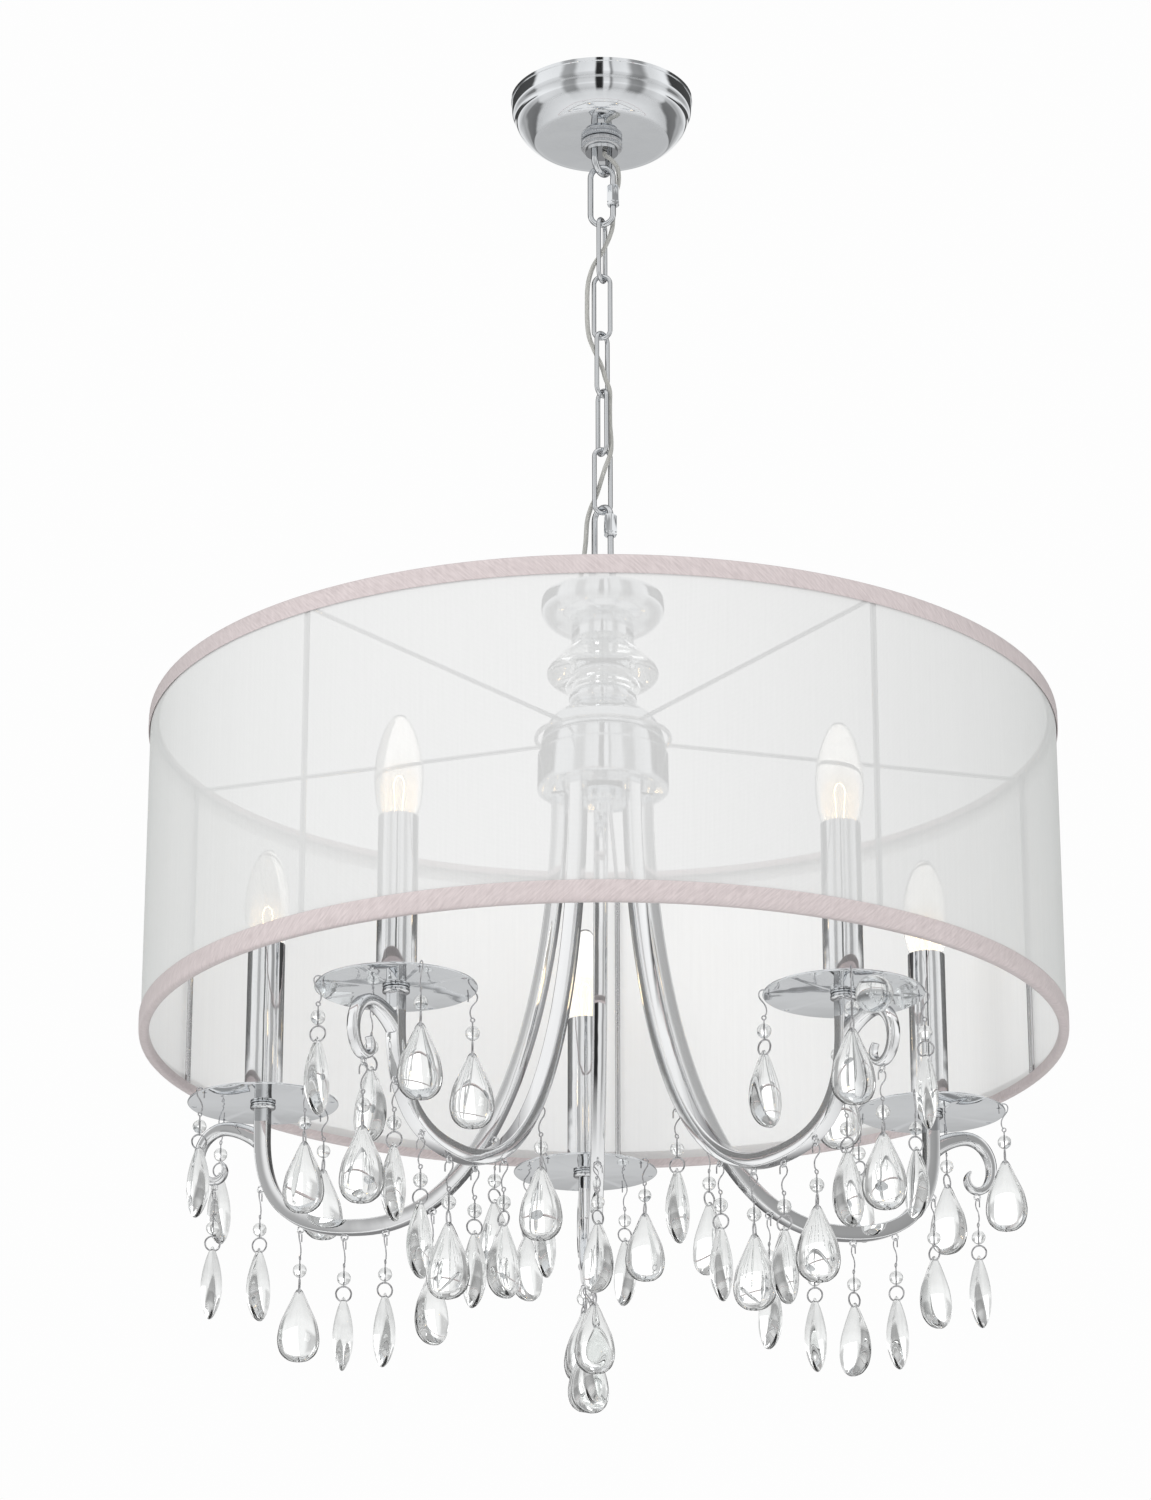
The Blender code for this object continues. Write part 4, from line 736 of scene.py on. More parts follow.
def organza_look(weave):
    """Sheer cloth: open between its threads, and closer and greyer by painted shade where it is seen
    along its surface.

    Its inner side glows faintly with painted light, and what metal mirrors through it shows more
    clearly.
    """
    look, tree, shader = principled("organza", Roughness=0.6, Emission_Strength=1.0)
    _, threads = woven(tree, weave, 0.0008)
    edge, inside = facing(tree, 0.30), backfacing(tree)
    # Painted shade: the colour greys towards the outline, less so on the inner side
    painted_edge_shade = math_node(tree, "MULTIPLY", edge, math_node(tree, "MULTIPLY_ADD", inside, -0.55, 1.0))
    streak = spread(tree, threads["Slub"], 0.96, 1.04)
    weaving = math_node(tree, "MULTIPLY", spread(tree, threads["Threads"], 0.90, 1.06), streak)
    mirrored = node(tree, "ShaderNodeLightPath").outputs["Is Glossy Ray"]
    clearer = math_node(tree, "MULTIPLY_ADD", mirrored, -0.68, 1.0)
    veil = math_node(tree, "MULTIPLY", spread(tree, edge, 0.72, 1.0), clearer)
    # Painted light: a faint glow on the inner side, standing in for lamp light through the cloth
    sockets = {
        "Base Color": toned(tree, painted_edge_shade, (0.830, 0.833, 0.830), (0.600, 0.618, 0.605)),
        "Alpha": math_node(tree, "MULTIPLY", weaving, veil),
        "Emission Color": toned(tree, inside, (0.0, 0.0, 0.0), (0.165, 0.163, 0.160)),
    }
    feed(tree, shader, sockets)
    return look


def silk_look(weave):
    """Slubby silk with fine slanting creases; painted shade darkens it in the creases and where it is
    seen along its surface.
    """
    look, tree, shader = principled("silk_trim", Roughness=0.52, Sheen_Weight=0.1)
    place, threads = woven(tree, weave, 0.0005)
    for sockets in ({"Rotation": (0.0, 0.0, -0.8)}, {"Scale": (900.0, 110.0, 1.0)}):
        place = node(tree, "ShaderNodeMapping", {"Vector": place, **sockets}).outputs["Vector"]
    crease = noise(tree, place, 1.0, 4.0)
    # Painted shade: darker in the creases, mixed with the slubs' own uneven tone
    shade = math_node(tree, "MULTIPLY", crease, spread(tree, threads["Slub"], 0.7, 1.3))
    tone = ramp(tree, shade, ((0.26, (0.60, 0.525, 0.525)), (0.66, (0.76, 0.675, 0.675))), "LINEAR")
    # Painted shade: the colour deepens towards the outline
    edge = spread(tree, facing(tree), 0.0, 0.60, 0.30, 0.95)
    height = math_node(tree, "ADD", crease, math_node(tree, "MULTIPLY", threads["Threads"], 0.2))
    sockets = {
        "Base Color": toned(tree, edge, tone, (0.40, 0.365, 0.36)),
        "Normal": bump(tree, height, 0.3, 0.0003),
    }
    feed(tree, shader, sockets)
    return look


def glow_look():
    """The lit filament's light inside a bulb: brightest low down, gone towards the tip."""
    look, tree, shader = principled(
        "bulb_glow", Roughness=1.0, Base_Color=(0.80, 0.72, 0.62, 1.0), Emission_Strength=1.1
    )
    height = node(tree, "ShaderNodeSeparateXYZ", {"Vector": object_place(tree)}).outputs["Z"]
    limits = (SLEEVE_RIM + GLOW_FULL, SLEEVE_RIM + GLOW_GONE)
    share = spread(tree, height, 0.0, 1.0, *limits, interpolation_type="SMOOTHERSTEP")
    fade = math_node(tree, "SUBTRACT", 1.0, share)
    core = math_node(tree, "SUBTRACT", 1.0, facing(tree))
    sockets = {
        "Emission Color": toned(tree, fade, (0.50, 0.44, 0.35), (1.0, 0.86, 0.66)),
        "Alpha": math_node(tree, "MULTIPLY", core, spread(tree, fade, 0.02, 0.60)),
    }
    feed(tree, shader, sockets)
    return look


def filament_look():
    hot, white_hot = (1.0, 0.8, 0.5, 1.0), (1.0, 0.72, 0.36, 1.0)
    return principled(
        "filament", Roughness=0.5, Base_Color=hot, Emission_Color=white_hot, Emission_Strength=14.0
    )[0]


def make_looks():
    """Each look by its material's name, with the name of a slot beside it."""
    polish, weave = polish_group(), weave_group()
    looks = {name: (metal(name, polish, *row), slot) for name, (slot, *row) in METALS.items()}
    drop_glass = glass("clear_glass", polish, (0.985, 0.995, 0.99), (0.0, 0.006), 0.006)
    looks["clear_glass"] = (drop_glass, "clear_glass")
    looks["bulb_glass"] = (
        glass("bulb_glass", polish, (0.95, 0.94, 0.92), (0.0, 0.01), 0.02), "bulb_glass"
    )
    looks["bulb_glow"] = (glow_look(), "bulb_glass")
    looks["filament"] = (filament_look(), "bulb_glass")
    looks["organza"] = (organza_look(weave), "organza")
    looks["silk_trim"] = (silk_look(weave), "silk_trim")
    looks["clear_cord"] = (jacket_look(polish), "clear_cord")
    return looks


# --- Canopy and chain -----------------------------------------------------------------------------


def canopy(looks):
    """A shallow bowl with a bead at its rim and two soft steps, spun from one sheet."""
    outer = np.vstack((CANOPY_RIM, spline(CANOPY_BOWL)[1:])) * (CANOPY_RADIUS, -CANOPY_HEIGHT)
    inner = outer[::-1] * (
        (CANOPY_RADIUS - CANOPY_WALL) / CANOPY_RADIUS,
        (CANOPY_HEIGHT - CANOPY_WALL) / CANOPY_HEIGHT,
    )
    inner[0, 0] = outer[-1, 0]
    shell = turned(np.vstack((outer, inner)), 144, closed=True)
    make("canopy_shell", [shell], looks["chrome"], ["canopy"], "ceiling_canopy")


def knurled(radius, top, height, ridges, depth):
    """A ring with two bands of ridges and a groove between: its radius follows a wave round it."""
    heights, insets, ridged = np.array(KNURL_MARKS).T[:, :, None]
    angle = 2 * np.pi * np.arange(ridges * 6) / (ridges * 6)
    wave = (0.5 - 0.5 * np.cos(angle * ridges)) * depth
    around = radius - insets * depth - ridged * wave
    levels = np.repeat(top - heights * height, len(angle), 1)
    return skin(np.stack((around * np.cos(angle), around * np.sin(angle), levels), axis=2))


def hanging_loop(half_width, bar, leg, wire, yaw):
    """A rod bent half round a bar, with its two legs straight to the height of leg."""
    turn = np.pi * np.arange(25) / 24
    rise = half_width if leg > bar else -half_width
    arc = np.stack((-half_width * np.cos(turn), bar + rise * (1 - np.sin(turn))), axis=1)
    path = in_plane(np.vstack(((-half_width, leg), arc, (half_width, leg))))
    return placed(carried(path, circle(wire, 20)), yaw)


def canopy_fittings(looks):
    collar = knurled(COLLAR_RADIUS, COLLAR_TOP, COLLAR_HEIGHT, COLLAR_RIDGES, COLLAR_RIDGE_DEPTH)
    look = looks["satin_chrome"]
    make("collar_knurled", [collar], look, ["canopy_collar"], "ceiling_canopy", sharp=50)
    thread = []
    for i in range(THREAD_TURNS + 1):
        z = BOSS_TOP + (BOSS_BOTTOM - BOSS_TOP) * i / THREAD_TURNS
        thread += [(BOSS_RADIUS - THREAD_DEPTH, z + THREAD_DEPTH / 2), (BOSS_RADIUS, z)]
    foot = [(BOSS_RADIUS - BOSS_EASE, BOSS_BOTTOM), (0.0, BOSS_BOTTOM)]
    boss = turned([(0.0, BOSS_TOP), *thread, *foot], 72)
    loop = hanging_loop(LOOP_HALF_WIDTH, LOOP_BAR, BOSS_BOTTOM + LEG_SINK, LOOP_WIRE, LOOP_YAW)
    make("loop_under_collar", [boss, loop], looks["chrome_rod"], ["canopy_loop"], "ceiling_canopy")


def stadium(half_length, radius, steps=16):
    """A closed path: two half circles joined by straight legs."""
    turn = np.pi * np.arange(steps + 1) / steps
    straight = half_length - radius
    lower = np.stack((radius * np.cos(turn), -straight - radius * np.sin(turn)), axis=1)
    return np.vstack((lower, -lower))


def middle_height(name):
    low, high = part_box(name)
    return ((low + high) / 2).z


def hexagonal(form, flats):
    """The form with all that is far enough from the Z axis drawn in to a hexagon."""
    points, faces = form
    angle = np.arctan2(points[:, 1], points[:, 0])
    sector = (angle + np.pi / 6) % (np.pi / 3) - np.pi / 6
    flat = flats / 2 / np.cos(sector)
    distance = np.hypot(points[:, 0], points[:, 1])
    pulled = np.where(distance > flats / 2 * 0.7, np.minimum(1.0, flat / distance), 1.0)
    return points * np.stack((pulled, pulled, np.ones(len(points))), axis=1), faces


def quick_link(looks, which):
    """An open link of rod, with a long hexagonal nut over the gap in one leg."""
    name, nut_name = f"quick_link_{which}", f"quick_nut_{which}"
    yaw, z = QUICK_YAWS[which], middle_height(name)
    radius = QUICK_WIDTH / 2 - QUICK_WIRE
    low, high = QUICK_GAPS[which]
    outline = stadium(QUICK_LENGTH / 2 - QUICK_WIRE, radius)
    path = in_plane(np.vstack(((radius, low), outline, (radius, high))))
    link = placed(carried(path, circle(QUICK_WIRE, 20)), yaw, (0, 0, z))
    make(f"{name}_rod", [link], looks["chrome_rod"], [name], name)
    corner, bore = NUT_FLATS / 2 / math.cos(math.pi / 6), QUICK_WIRE + GAP
    top, groove = NUT_LENGTH / 2, NUT_GROOVE - NUT_LENGTH / 2
    marks = [(bore, top), (corner - NUT_EASE, top), (corner, top - NUT_EASE)]
    marks += [(corner - inset, groove + rise) for inset, rise in NUT_GROOVE_MARKS]
    marks += [(corner, NUT_EASE - top), (corner - NUT_EASE, -top), (bore, -top)]
    turn = math.radians(yaw)
    move = (radius * math.cos(turn), radius * math.sin(turn), z + QUICK_NUTS[which])
    nut = placed(hexagonal(turned(marks, 24, closed=True), NUT_FLATS), yaw, move)
    make(f"{nut_name}_hex", [nut], looks["chrome"], [nut_name], nut_name, sharp=24)


def chain(looks):
    path = in_plane(stadium(LINK_LENGTH / 2 - LINK_WIRE, LINK_WIDTH / 2 - LINK_WIRE))
    link = carried(path, circle(LINK_WIRE, 16), closed=True)
    for i, yaw in enumerate(LINK_YAWS, 1):
        name = f"chain_link_{i}"
        hung_link = placed(link, yaw, (0, 0, middle_height(name)))
        make(f"{name}_wire", [hung_link], looks["chrome_rod"], [name], name)


def run_lengths(points):
    """How far along a path each of its points lies."""
    steps = np.linalg.norm(np.diff(points, axis=0), axis=1)
    return np.concatenate(((0.0,), np.cumsum(steps)))


def cord(looks):
    """The supply cord: one stretch for each hinge, from one link's middle to the next one's."""
    bodies = ["ceiling_canopy", "quick_link_upper", *(f"chain_link_{i}" for i in range(1, 6))]
    bodies += ["quick_link_lower", "fixture"]
    route = spline(CORD_ROUTE, 8)
    depths, lengths = -route[:, 2], run_lengths(route)
    cuts = [(upper + lower) / 2 for upper, lower in zip(HINGES, HINGES[1:])]
    marks = [route[0, 2], *cuts, route[-1, 2]]
    for i, (high, low) in enumerate(zip(marks, marks[1:])):
        inside = (depths > -high) & (depths < -low)
        ends = [[np.interp(-z, depths, route[:, axis]) for axis in range(3)] for z in (high, low)]
        points = np.vstack((ends[0], route[inside], ends[1]))
        near, far = (np.interp(-z, depths, lengths) for z in (high, low))
        away = np.concatenate(([near], lengths[inside], [far]))
        jacket_form = wound(points, away, CORD_RADIUS, 12)
        turns = (0.0, math.pi)
        core_forms = [wound(points, away, CORE_RADIUS, 6, CORE_OFFSET, turn) for turn in turns]
        jacket = make(f"cord_stretch_{i + 1}", [jacket_form], looks["clear_cord"], body=None)
        core = make(f"cord_cores_{i + 1}", core_forms, looks["cord_core"], body=None)
        for obj in (jacket, core):
            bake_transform(obj)
        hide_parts("supply_cord")


def wound(points, away, radius, sides, offset=0.0, side=0.0):
    """A round tube along the cord, or beside its middle line and winding about it."""
    run = np.gradient(points, axis=0)
    run /= np.linalg.norm(run, axis=1, keepdims=True)
    across = np.cross(run, (0.0, 1.0, 0.0))
    across /= np.linalg.norm(across, axis=1, keepdims=True)
    over = np.cross(run, across)
    turn = (2 * np.pi * away / CORE_PITCH + side)[:, None]
    path = points + offset * (np.cos(turn) * across + np.sin(turn) * over)
    section = circle(radius, sides)
    return skin(path[:, None] + section[:, :1] * across[:, None] + section[:, 1:] * over[:, None])


# --- Column ---------------------------------------------------------------------------------------


def column(looks):
    """The loop, the dish, the glass bell with the tube in it, and the ring under it."""
    nut_top = COLUMN_NUT_FOOT + COLUMN_NUT_HEIGHT
    nut = [(0.0, nut_top), (COLUMN_NUT_RADIUS, nut_top)]
    nut += [(COLUMN_NUT_RADIUS, COLUMN_NUT_FOOT), (0.0, COLUMN_NUT_FOOT)]
    shape = (COLUMN_LOOP_HALF_WIDTH, COLUMN_LOOP_BAR, nut_top - LEG_SINK, COLUMN_LOOP_WIRE)
    forms = [hanging_loop(*shape, COLUMN_LOOP_YAW), turned(eased(nut, 0.001), 72)]
    make("column_loop_rod", forms, looks["chrome_rod"], ["column_loop"])

    floor_height = DISH_TOP - DISH_FLOOR
    inner = DISH_RADIUS - DISH_LIP
    hollow = [(inner, DISH_TOP), (inner * 0.95, DISH_TOP - DISH_FLOOR * 0.6)]
    hollow = spline([*hollow, (inner * 0.70, floor_height), (0.0, floor_height)])
    neck_top = DISH_TOP - DISH_BAND - DISH_BOWL
    outside = [(DISH_RADIUS - DISH_LIP * 0.9, DISH_TOP)]
    outside += quarter(outside[0], (DISH_RADIUS, DISH_TOP - DISH_BAND * 0.45), False, 8).tolist()
    outside.append((DISH_RADIUS, DISH_TOP - DISH_BAND * 0.6))
    outside += quarter(outside[-1], (NECK_RADIUS, neck_top), True, 16).tolist()
    neck = [outside[-1], (NECK_RADIUS, neck_top - NECK_HEIGHT), (0.0, neck_top - NECK_HEIGHT)]
    dish = turned(np.vstack((hollow[::-1], outside, eased(neck, 0.0005)[1:])), 120)
    make("column_dish_turned", [dish], looks["chrome"], ["column_dish"])

    outer = spline(BELL_OUTER) * (BELL_RADIUS, -BELL_HEIGHT)
    hollow = spline(BELL_INNER, 4) * (BELL_RADIUS - BELL_WALL, -BELL_HEIGHT)
    bore = ((BELL_BORE, -BELL_HEIGHT * BELL_BORE_SHARE), (BELL_BORE, 0.0))
    bell = turned(np.vstack((outer, hollow, bore)) + (0.0, BELL_TOP), 96, closed=True)
    make("column_bell", [bell], looks["clear_glass"], ["column_glass"], sharp=50)

    low = BELL_TOP - BELL_HEIGHT
    tube = turned([(0.0, BELL_TOP), (TUBE_RADIUS, BELL_TOP), (TUBE_RADIUS, low), (0.0, low)], 48)
    make("column_tube_turned", [tube], looks["chrome_tube"], ["column_tube"])

    bead = [(0.0, RING_TOP), (RING_RADIUS * RING_FLAT, RING_TOP)]
    bead += quarter(bead[-1], (RING_RADIUS, RING_TOP - RING_HEIGHT / 2), False, 8).tolist()
    bead += quarter(bead[-1], (RING_RADIUS * RING_FLAT, RING_TOP - RING_HEIGHT), True, 8).tolist()
    bead.append((0.0, RING_TOP - RING_HEIGHT))
    make("column_ring_turned", [turned(bead, 96)], looks["chrome"], ["column_ring"])


def hub(looks):
    """A domed shell with a crease above its band, and the nut and its stem under it."""
    shoulder, crease = HUB_RADIUS * HUB_SHOULDER, HUB_UNDERSIDE + HUB_CREASE
    recess = HUB_UNDERSIDE + HUB_RECESS
    profile = [(0.0, HUB_TOP), (HUB_TOP_RADIUS, HUB_TOP)]
    pulls = ((HUB_TOP_RADIUS + 0.0150, HUB_TOP - 0.0030), (shoulder, HUB_TOP - 0.0150))
    profile += bezier(profile[-1], *pulls, (shoulder, crease + 0.0012), 18).tolist()
    band = [profile.pop(), (shoulder, crease), (HUB_RADIUS, crease - 0.0010)]
    band += [(HUB_RADIUS, HUB_UNDERSIDE), (HUB_RADIUS * 0.9, HUB_UNDERSIDE)]
    profile += [*eased(band, 0.001).tolist(), (HUB_RADIUS * 0.88, recess), (0.0, recess)]
    make("hub_turned", [turned(profile, 120)], looks["chrome"], ["hub"])
    foot = HUB_NUT_TOP - HUB_NUT_HEIGHT
    knob = foot - HUB_STEM_HEIGHT
    nut = [(0.0, HUB_NUT_TOP), (HUB_NUT_RADIUS, HUB_NUT_TOP), (HUB_NUT_RADIUS, foot)]
    nut += [(HUB_STEM_RADIUS, foot), (HUB_STEM_RADIUS, knob), (0.0, knob)]
    make("hub_nut_turned", [turned(eased(nut, 0.0016, 4), 72)], looks["chrome"], ["hub_nut"])


# --- Shade ----------------------------------------------------------------------------------------


def shade_frame(looks):
    forms = []
    rings = [(SHADE_RING_RADIUS, z, SHADE_WIRE) for z in SHADE_RING_HEIGHTS]
    for radius, z, wire in (*rings, (SPIDER_RING_RADIUS, SPIDER_HEIGHT, SPOKE_WIRE)):
        path = np.insert(circle(radius, 180), 2, z, axis=1)
        forms.append(carried(path, circle(wire, 8), (0.0, 0.0, 1.0), closed=True))
    top, bottom = SHADE_RING_HEIGHTS
    rib = in_plane(np.linspace((RIB_RADIUS, top), (RIB_RADIUS, bottom), 3))
    rib = carried(rib, circle(RIB_WIRE, 10))
    spoke = [(SPIDER_RING_RADIUS, SPIDER_HEIGHT), (SPOKE_BEND, SPIDER_HEIGHT)]
    pulls = ((0.292, SPIDER_HEIGHT), (0.296, SPIDER_HEIGHT + 0.0006))
    spoke += bezier(spoke[-1], *pulls, SPOKE_END, 6).tolist()
    spoke = carried(in_plane(spoke), circle(SPOKE_WIRE, 10))
    for i in range(5):
        yaw = outwards_yaw(RIB_AZIMUTH + SPACING * i)
        forms += [placed(rib, yaw), placed(spoke, yaw)]
    make("shade_wires", forms, looks["satin_wire"], ["shade_frame"])


def cloth_band(name, radii, heights, length_up, look, stands_for):
    """A band of cloth round the shade from rows of radii and heights, with a UV map in metres."""
    rows, columns = heights.shape
    angle = 2 * np.pi * np.arange(columns) / columns
    points = np.stack((radii * np.cos(angle), radii * np.sin(angle), heights), axis=2)
    mesh = bpy.data.meshes.new(name)
    mesh.from_pydata(points.reshape(-1, 3), [], grid_faces(rows, columns))
    corners = np.empty(len(mesh.loops), dtype=int)
    mesh.loops.foreach_get("vertex_index", corners)
    row, column = np.divmod(corners, columns)
    face_first = np.repeat(column[::4], 4)
    column = np.where((column == 0) & (face_first > columns / 2), columns, column)
    around = 2 * np.pi * SHADE_RADIUS / columns
    places = np.stack((column * around, np.asarray(length_up)[row]), axis=1)
    mesh.uv_layers.new(name="metres").data.foreach_set("uv", places.ravel())
    closed_up(mesh)
    mesh.polygons.foreach_set("use_smooth", np.ones(len(mesh.polygons), dtype=bool))
    return add(name, mesh, look, stands_for)


def organza(looks):
    """The stretched cloth: a cylinder with faint upright waves that fade towards both rings."""
    angle = 2 * np.pi * np.arange(ORGANZA_COLUMNS) / ORGANZA_COLUMNS
    share = np.linspace(0.0, 1.0, ORGANZA_ROWS)[:, None]
    wave = np.sin(17 * angle) + 0.6 * np.sin(41 * angle + 1.0) + 0.4 * np.sin(67 * angle + 2.0)
    radii = FABRIC_RADIUS + ORGANZA_WAVE * np.sin(np.pi * share) * wave
    heights = np.repeat(FABRIC_TOP - FABRIC_HEIGHT * share, ORGANZA_COLUMNS, axis=1)
    run = FABRIC_HEIGHT * share[:, 0]
    return cloth_band("shade_organza", radii, heights, run, looks["organza"], ["shade_fabric"])


def trim(looks, which, edge, towards):
    """A silk band folded over a ring: its section runs up outside, over the edge and down inside."""
    marks = [
        (SHADE_RADIUS - inset, edge + towards * (TRIM_WIDTH * share + up))
        for inset, share, up in TRIM_MARKS
    ]
    section = spline(marks, 3)
    angle = 2 * np.pi * np.arange(TRIM_COLUMNS) / TRIM_COLUMNS
    up = np.linspace(0.0, 1.0, len(section))[:, None]
    crease = np.sin(160 * angle + 14 * up) * np.sin(23 * angle + 2)
    crease = crease + 0.7 * np.sin(231 * angle + 11 * up + 1)
    radii = section[:, :1] - TRIM_CREASE * (1.0 + crease) * np.sin(np.pi * up)
    heights = np.repeat(section[:, 1:], TRIM_COLUMNS, axis=1)
    name, run = f"shade_trim_{which}", run_lengths(section)
    return cloth_band(f"{name}_silk", radii, heights, run, looks["silk_trim"], [name])


def shade(looks):
    shade_frame(looks)
    cloth = organza(looks)
    trims = [trim(looks, "top", TRIM_TOP, -1.0), trim(looks, "bottom", TRIM_BOTTOM, 1.0)]


# --- Lights ---------------------------------------------------------------------------------------


def arm_path():
    """The arm's centre line in its light's frame, from the hub's underside to the disc."""
    path = [np.array((ARM_TOP,)), bezier(ARM_TOP, *ARM_PULLS, ARM_LOW, 60)]
    path.append(bezier(ARM_LOW, *ARM_OUTER_PULLS, ARM_TURN, 30))
    path.append(np.array(((LIGHT_RADIUS, DISC_UNDERSIDE - HUB_UNDERSIDE - GAP),)))
    return np.vstack(path) + (0.0, HUB_UNDERSIDE)


def arm_eye(path, place):
    """The eye's centre by the arm at the place nearest to a point."""
    nearest = int(np.argmin(np.linalg.norm(path - place, axis=1)))
    run = path[nearest + 1] - path[nearest - 1]
    run /= np.linalg.norm(run)
    return path[nearest] + np.array((run[1], -run[0])) * (ARM_SIDE / 2 - EYE_SINK + EYE_RADIUS)


def eye_form(centre):
    return carried(in_plane(circle(EYE_RADIUS, 20) + centre), circle(EYE_WIRE, 8), closed=True)


def scroll_path():
    """The scroll's middle line, which arches outwards from the tube and curls in, and its widths."""
    root, top, outer, bottom, inner, tip = (
        (LIGHT_RADIUS + out, DISC_UNDERSIDE - down) for out, down in SCROLL_MARKS
    )
    reach, rise = top[0] - root[0], (top[1] - root[1]) / 2
    pulls = ((root[0] + reach / 4, root[1] + rise), (top[0] - reach / 3, top[1]))
    pieces = [
        np.array((root,)),
        bezier(root, *pulls, top, 12),
        quarter(top, outer, False, 10),
        quarter(outer, bottom, True, 10),
        quarter(bottom, inner, False, 8),
        bezier(inner, (inner[0], (inner[1] + tip[1]) / 2), tip, tip, 6),
    ]
    marks = np.cumsum([len(piece) for piece in pieces]) - 1
    return np.vstack(pieces), np.interp(np.arange(marks[-1] + 1), marks, SCROLL_WIDTHS)


def scroll_eye():
    out, down = SCROLL_MARKS[3]
    drop = SCROLL_WIDTHS[3] / 2 - EYE_SINK + EYE_RADIUS
    return np.array((LIGHT_RADIUS + out, DISC_UNDERSIDE - down - drop))


def arm(looks, index, azimuth):
    """A square tube with softened edges, its ringed end under the disc, its scroll and its eyes."""
    path = arm_path()
    top = DISC_UNDERSIDE - GAP
    rings = [(TUBE_NUT_RADIUS - inset, top - down) for inset, down in TUBE_NUT_MARKS]
    nut = turned([(0.0, top), *rings, (0.0, top - TUBE_NUT_HEIGHT)], 64)
    middle_line, widths = scroll_path()
    thickness = np.linspace(SCROLL_ROOT_THICKNESS, SCROLL_TIP_THICKNESS, len(widths))
    sections = soft_box(1.0, 1.0, 0.3) * np.stack((thickness, widths), axis=1)[:, None]
    forms = [carried(in_plane(path), soft_box(ARM_SIDE, ARM_SIDE))]
    forms += [placed(nut, 0.0, (LIGHT_RADIUS, 0.0, 0.0)), carried(in_plane(middle_line), sections)]
    forms += [eye_form(arm_eye(path, place)) for place in ARM_EYES]
    forms = [placed(form, outwards_yaw(azimuth)) for form in (*forms, eye_form(scroll_eye()))]
    make(f"arm_{index}_tube", forms, looks["chrome_arm"], [f"arm_{index}"], sharp=40)


def disc_form():
    """A thin disc with a rolled rim and eight small holes, about its centre, from its underside up."""
    rim = [(0.0, 0.0), (DISC_RADIUS - DISC_ROLL, 0.0)]
    rim += quarter(rim[-1], (DISC_RADIUS, DISC_THICKNESS / 2), False, 4).tolist()
    rim += quarter(rim[-1], (DISC_RADIUS - DISC_ROLL, DISC_THICKNESS), True, 4).tolist()
    rim.append((0.0, DISC_THICKNESS))
    profile = ((0.0, -0.002), (DISC_HOLE_RADIUS, -0.002), (DISC_HOLE_RADIUS, 0.004), (0.0, 0.004))
    angle = np.radians(DISC_HOLE_PHASE + 45.0 * np.arange(8))
    centres = np.stack((DISC_HOLES * np.cos(angle), DISC_HOLES * np.sin(angle)), axis=1)
    drills = [placed(turned(profile, 16), 0.0, (x, y, 0.0)) for x, y in centres]
    body = in_scene("disc_body", mesh_of("disc_body", turned(rim, 120)))
    drill = in_scene("disc_drills", mesh_of("disc_drills", joined(drills)))
    cut = body.modifiers.new("holes", "BOOLEAN")
    cut.object = drill
    cut.solver = "EXACT"
    drilled = body.evaluated_get(bpy.context.evaluated_depsgraph_get())
    done = bpy.data.meshes.new_from_object(drilled)
    bpy.data.objects.remove(body)
    bpy.data.objects.remove(drill)
    points = np.empty(len(done.vertices) * 3)
    done.vertices.foreach_get("co", points)
    return points.reshape(-1, 3), [list(face.vertices) for face in done.polygons]


def candle(looks, index, centre):
    """The sleeve with its socket, and the flame bulb in it with its filament and glow."""

    def stand(name, form, look, stands_for=()):
        make(name, [placed(form, 0, centre)], looks[look], stands_for)

    inner, socket = SLEEVE_RADIUS - SLEEVE_WALL, SLEEVE_RIM - SOCKET_DEPTH
    sleeve = [(0.0, SLEEVE_FOOT), (SLEEVE_RADIUS, SLEEVE_FOOT), (SLEEVE_RADIUS, SLEEVE_RIM)]
    sleeve += [(inner, SLEEVE_RIM), (inner, socket), (0.0, socket)]
    name = f"candle_sleeve_{index}"
    stand(f"{name}_turned", turned(eased(sleeve, 0.0004), 64), "chrome_tube", [name])
    rise = (0.0, SLEEVE_RIM)
    name = f"bulb_{index}"
    flame = spline(BULB_PROFILE) * (BULB_RADIUS, BULB_HEIGHT)
    inner = flame[1:-1][::-1] * BULB_INNER_SHARES
    shell = np.vstack((flame, inner, [(0.0, inner[-1, 1])]))
    shell[:, 0] = np.maximum(shell[:, 0], 0.0)
    stand(f"{name}_glass", turned(shell + rise, 48), "bulb_glass", [name])
    base = [(0.0, 0.0), *BULB_BASE, (0.0, BULB_BASE[-1][1])]
    stand(f"{name}_base", turned(eased(base, 0.0004) + rise, 32), "satin_chrome")
    turn = np.linspace(-0.2 * np.pi, 1.2 * np.pi, 28)
    across, up = FILAMENT_SIZE[0] * np.cos(turn), FILAMENT_SIZE[1] * np.sin(turn)
    wire = in_plane(np.stack((across, SLEEVE_RIM + FILAMENT_HEIGHT + up), axis=1))
    foot = FILAMENT_FOOT
    wire = np.vstack(((foot, 0.0, SLEEVE_RIM), wire, (-foot, 0.0, SLEEVE_RIM)))
    stand(f"{name}_filament", carried(wire, circle(FILAMENT_WIRE, 6)), "filament")
    glow = np.vstack((flame[:-1] * GLOW_SHARES, [(0.0, 0.002)]))
    stand(f"{name}_glow", turned(glow + rise, 32), "bulb_glow")


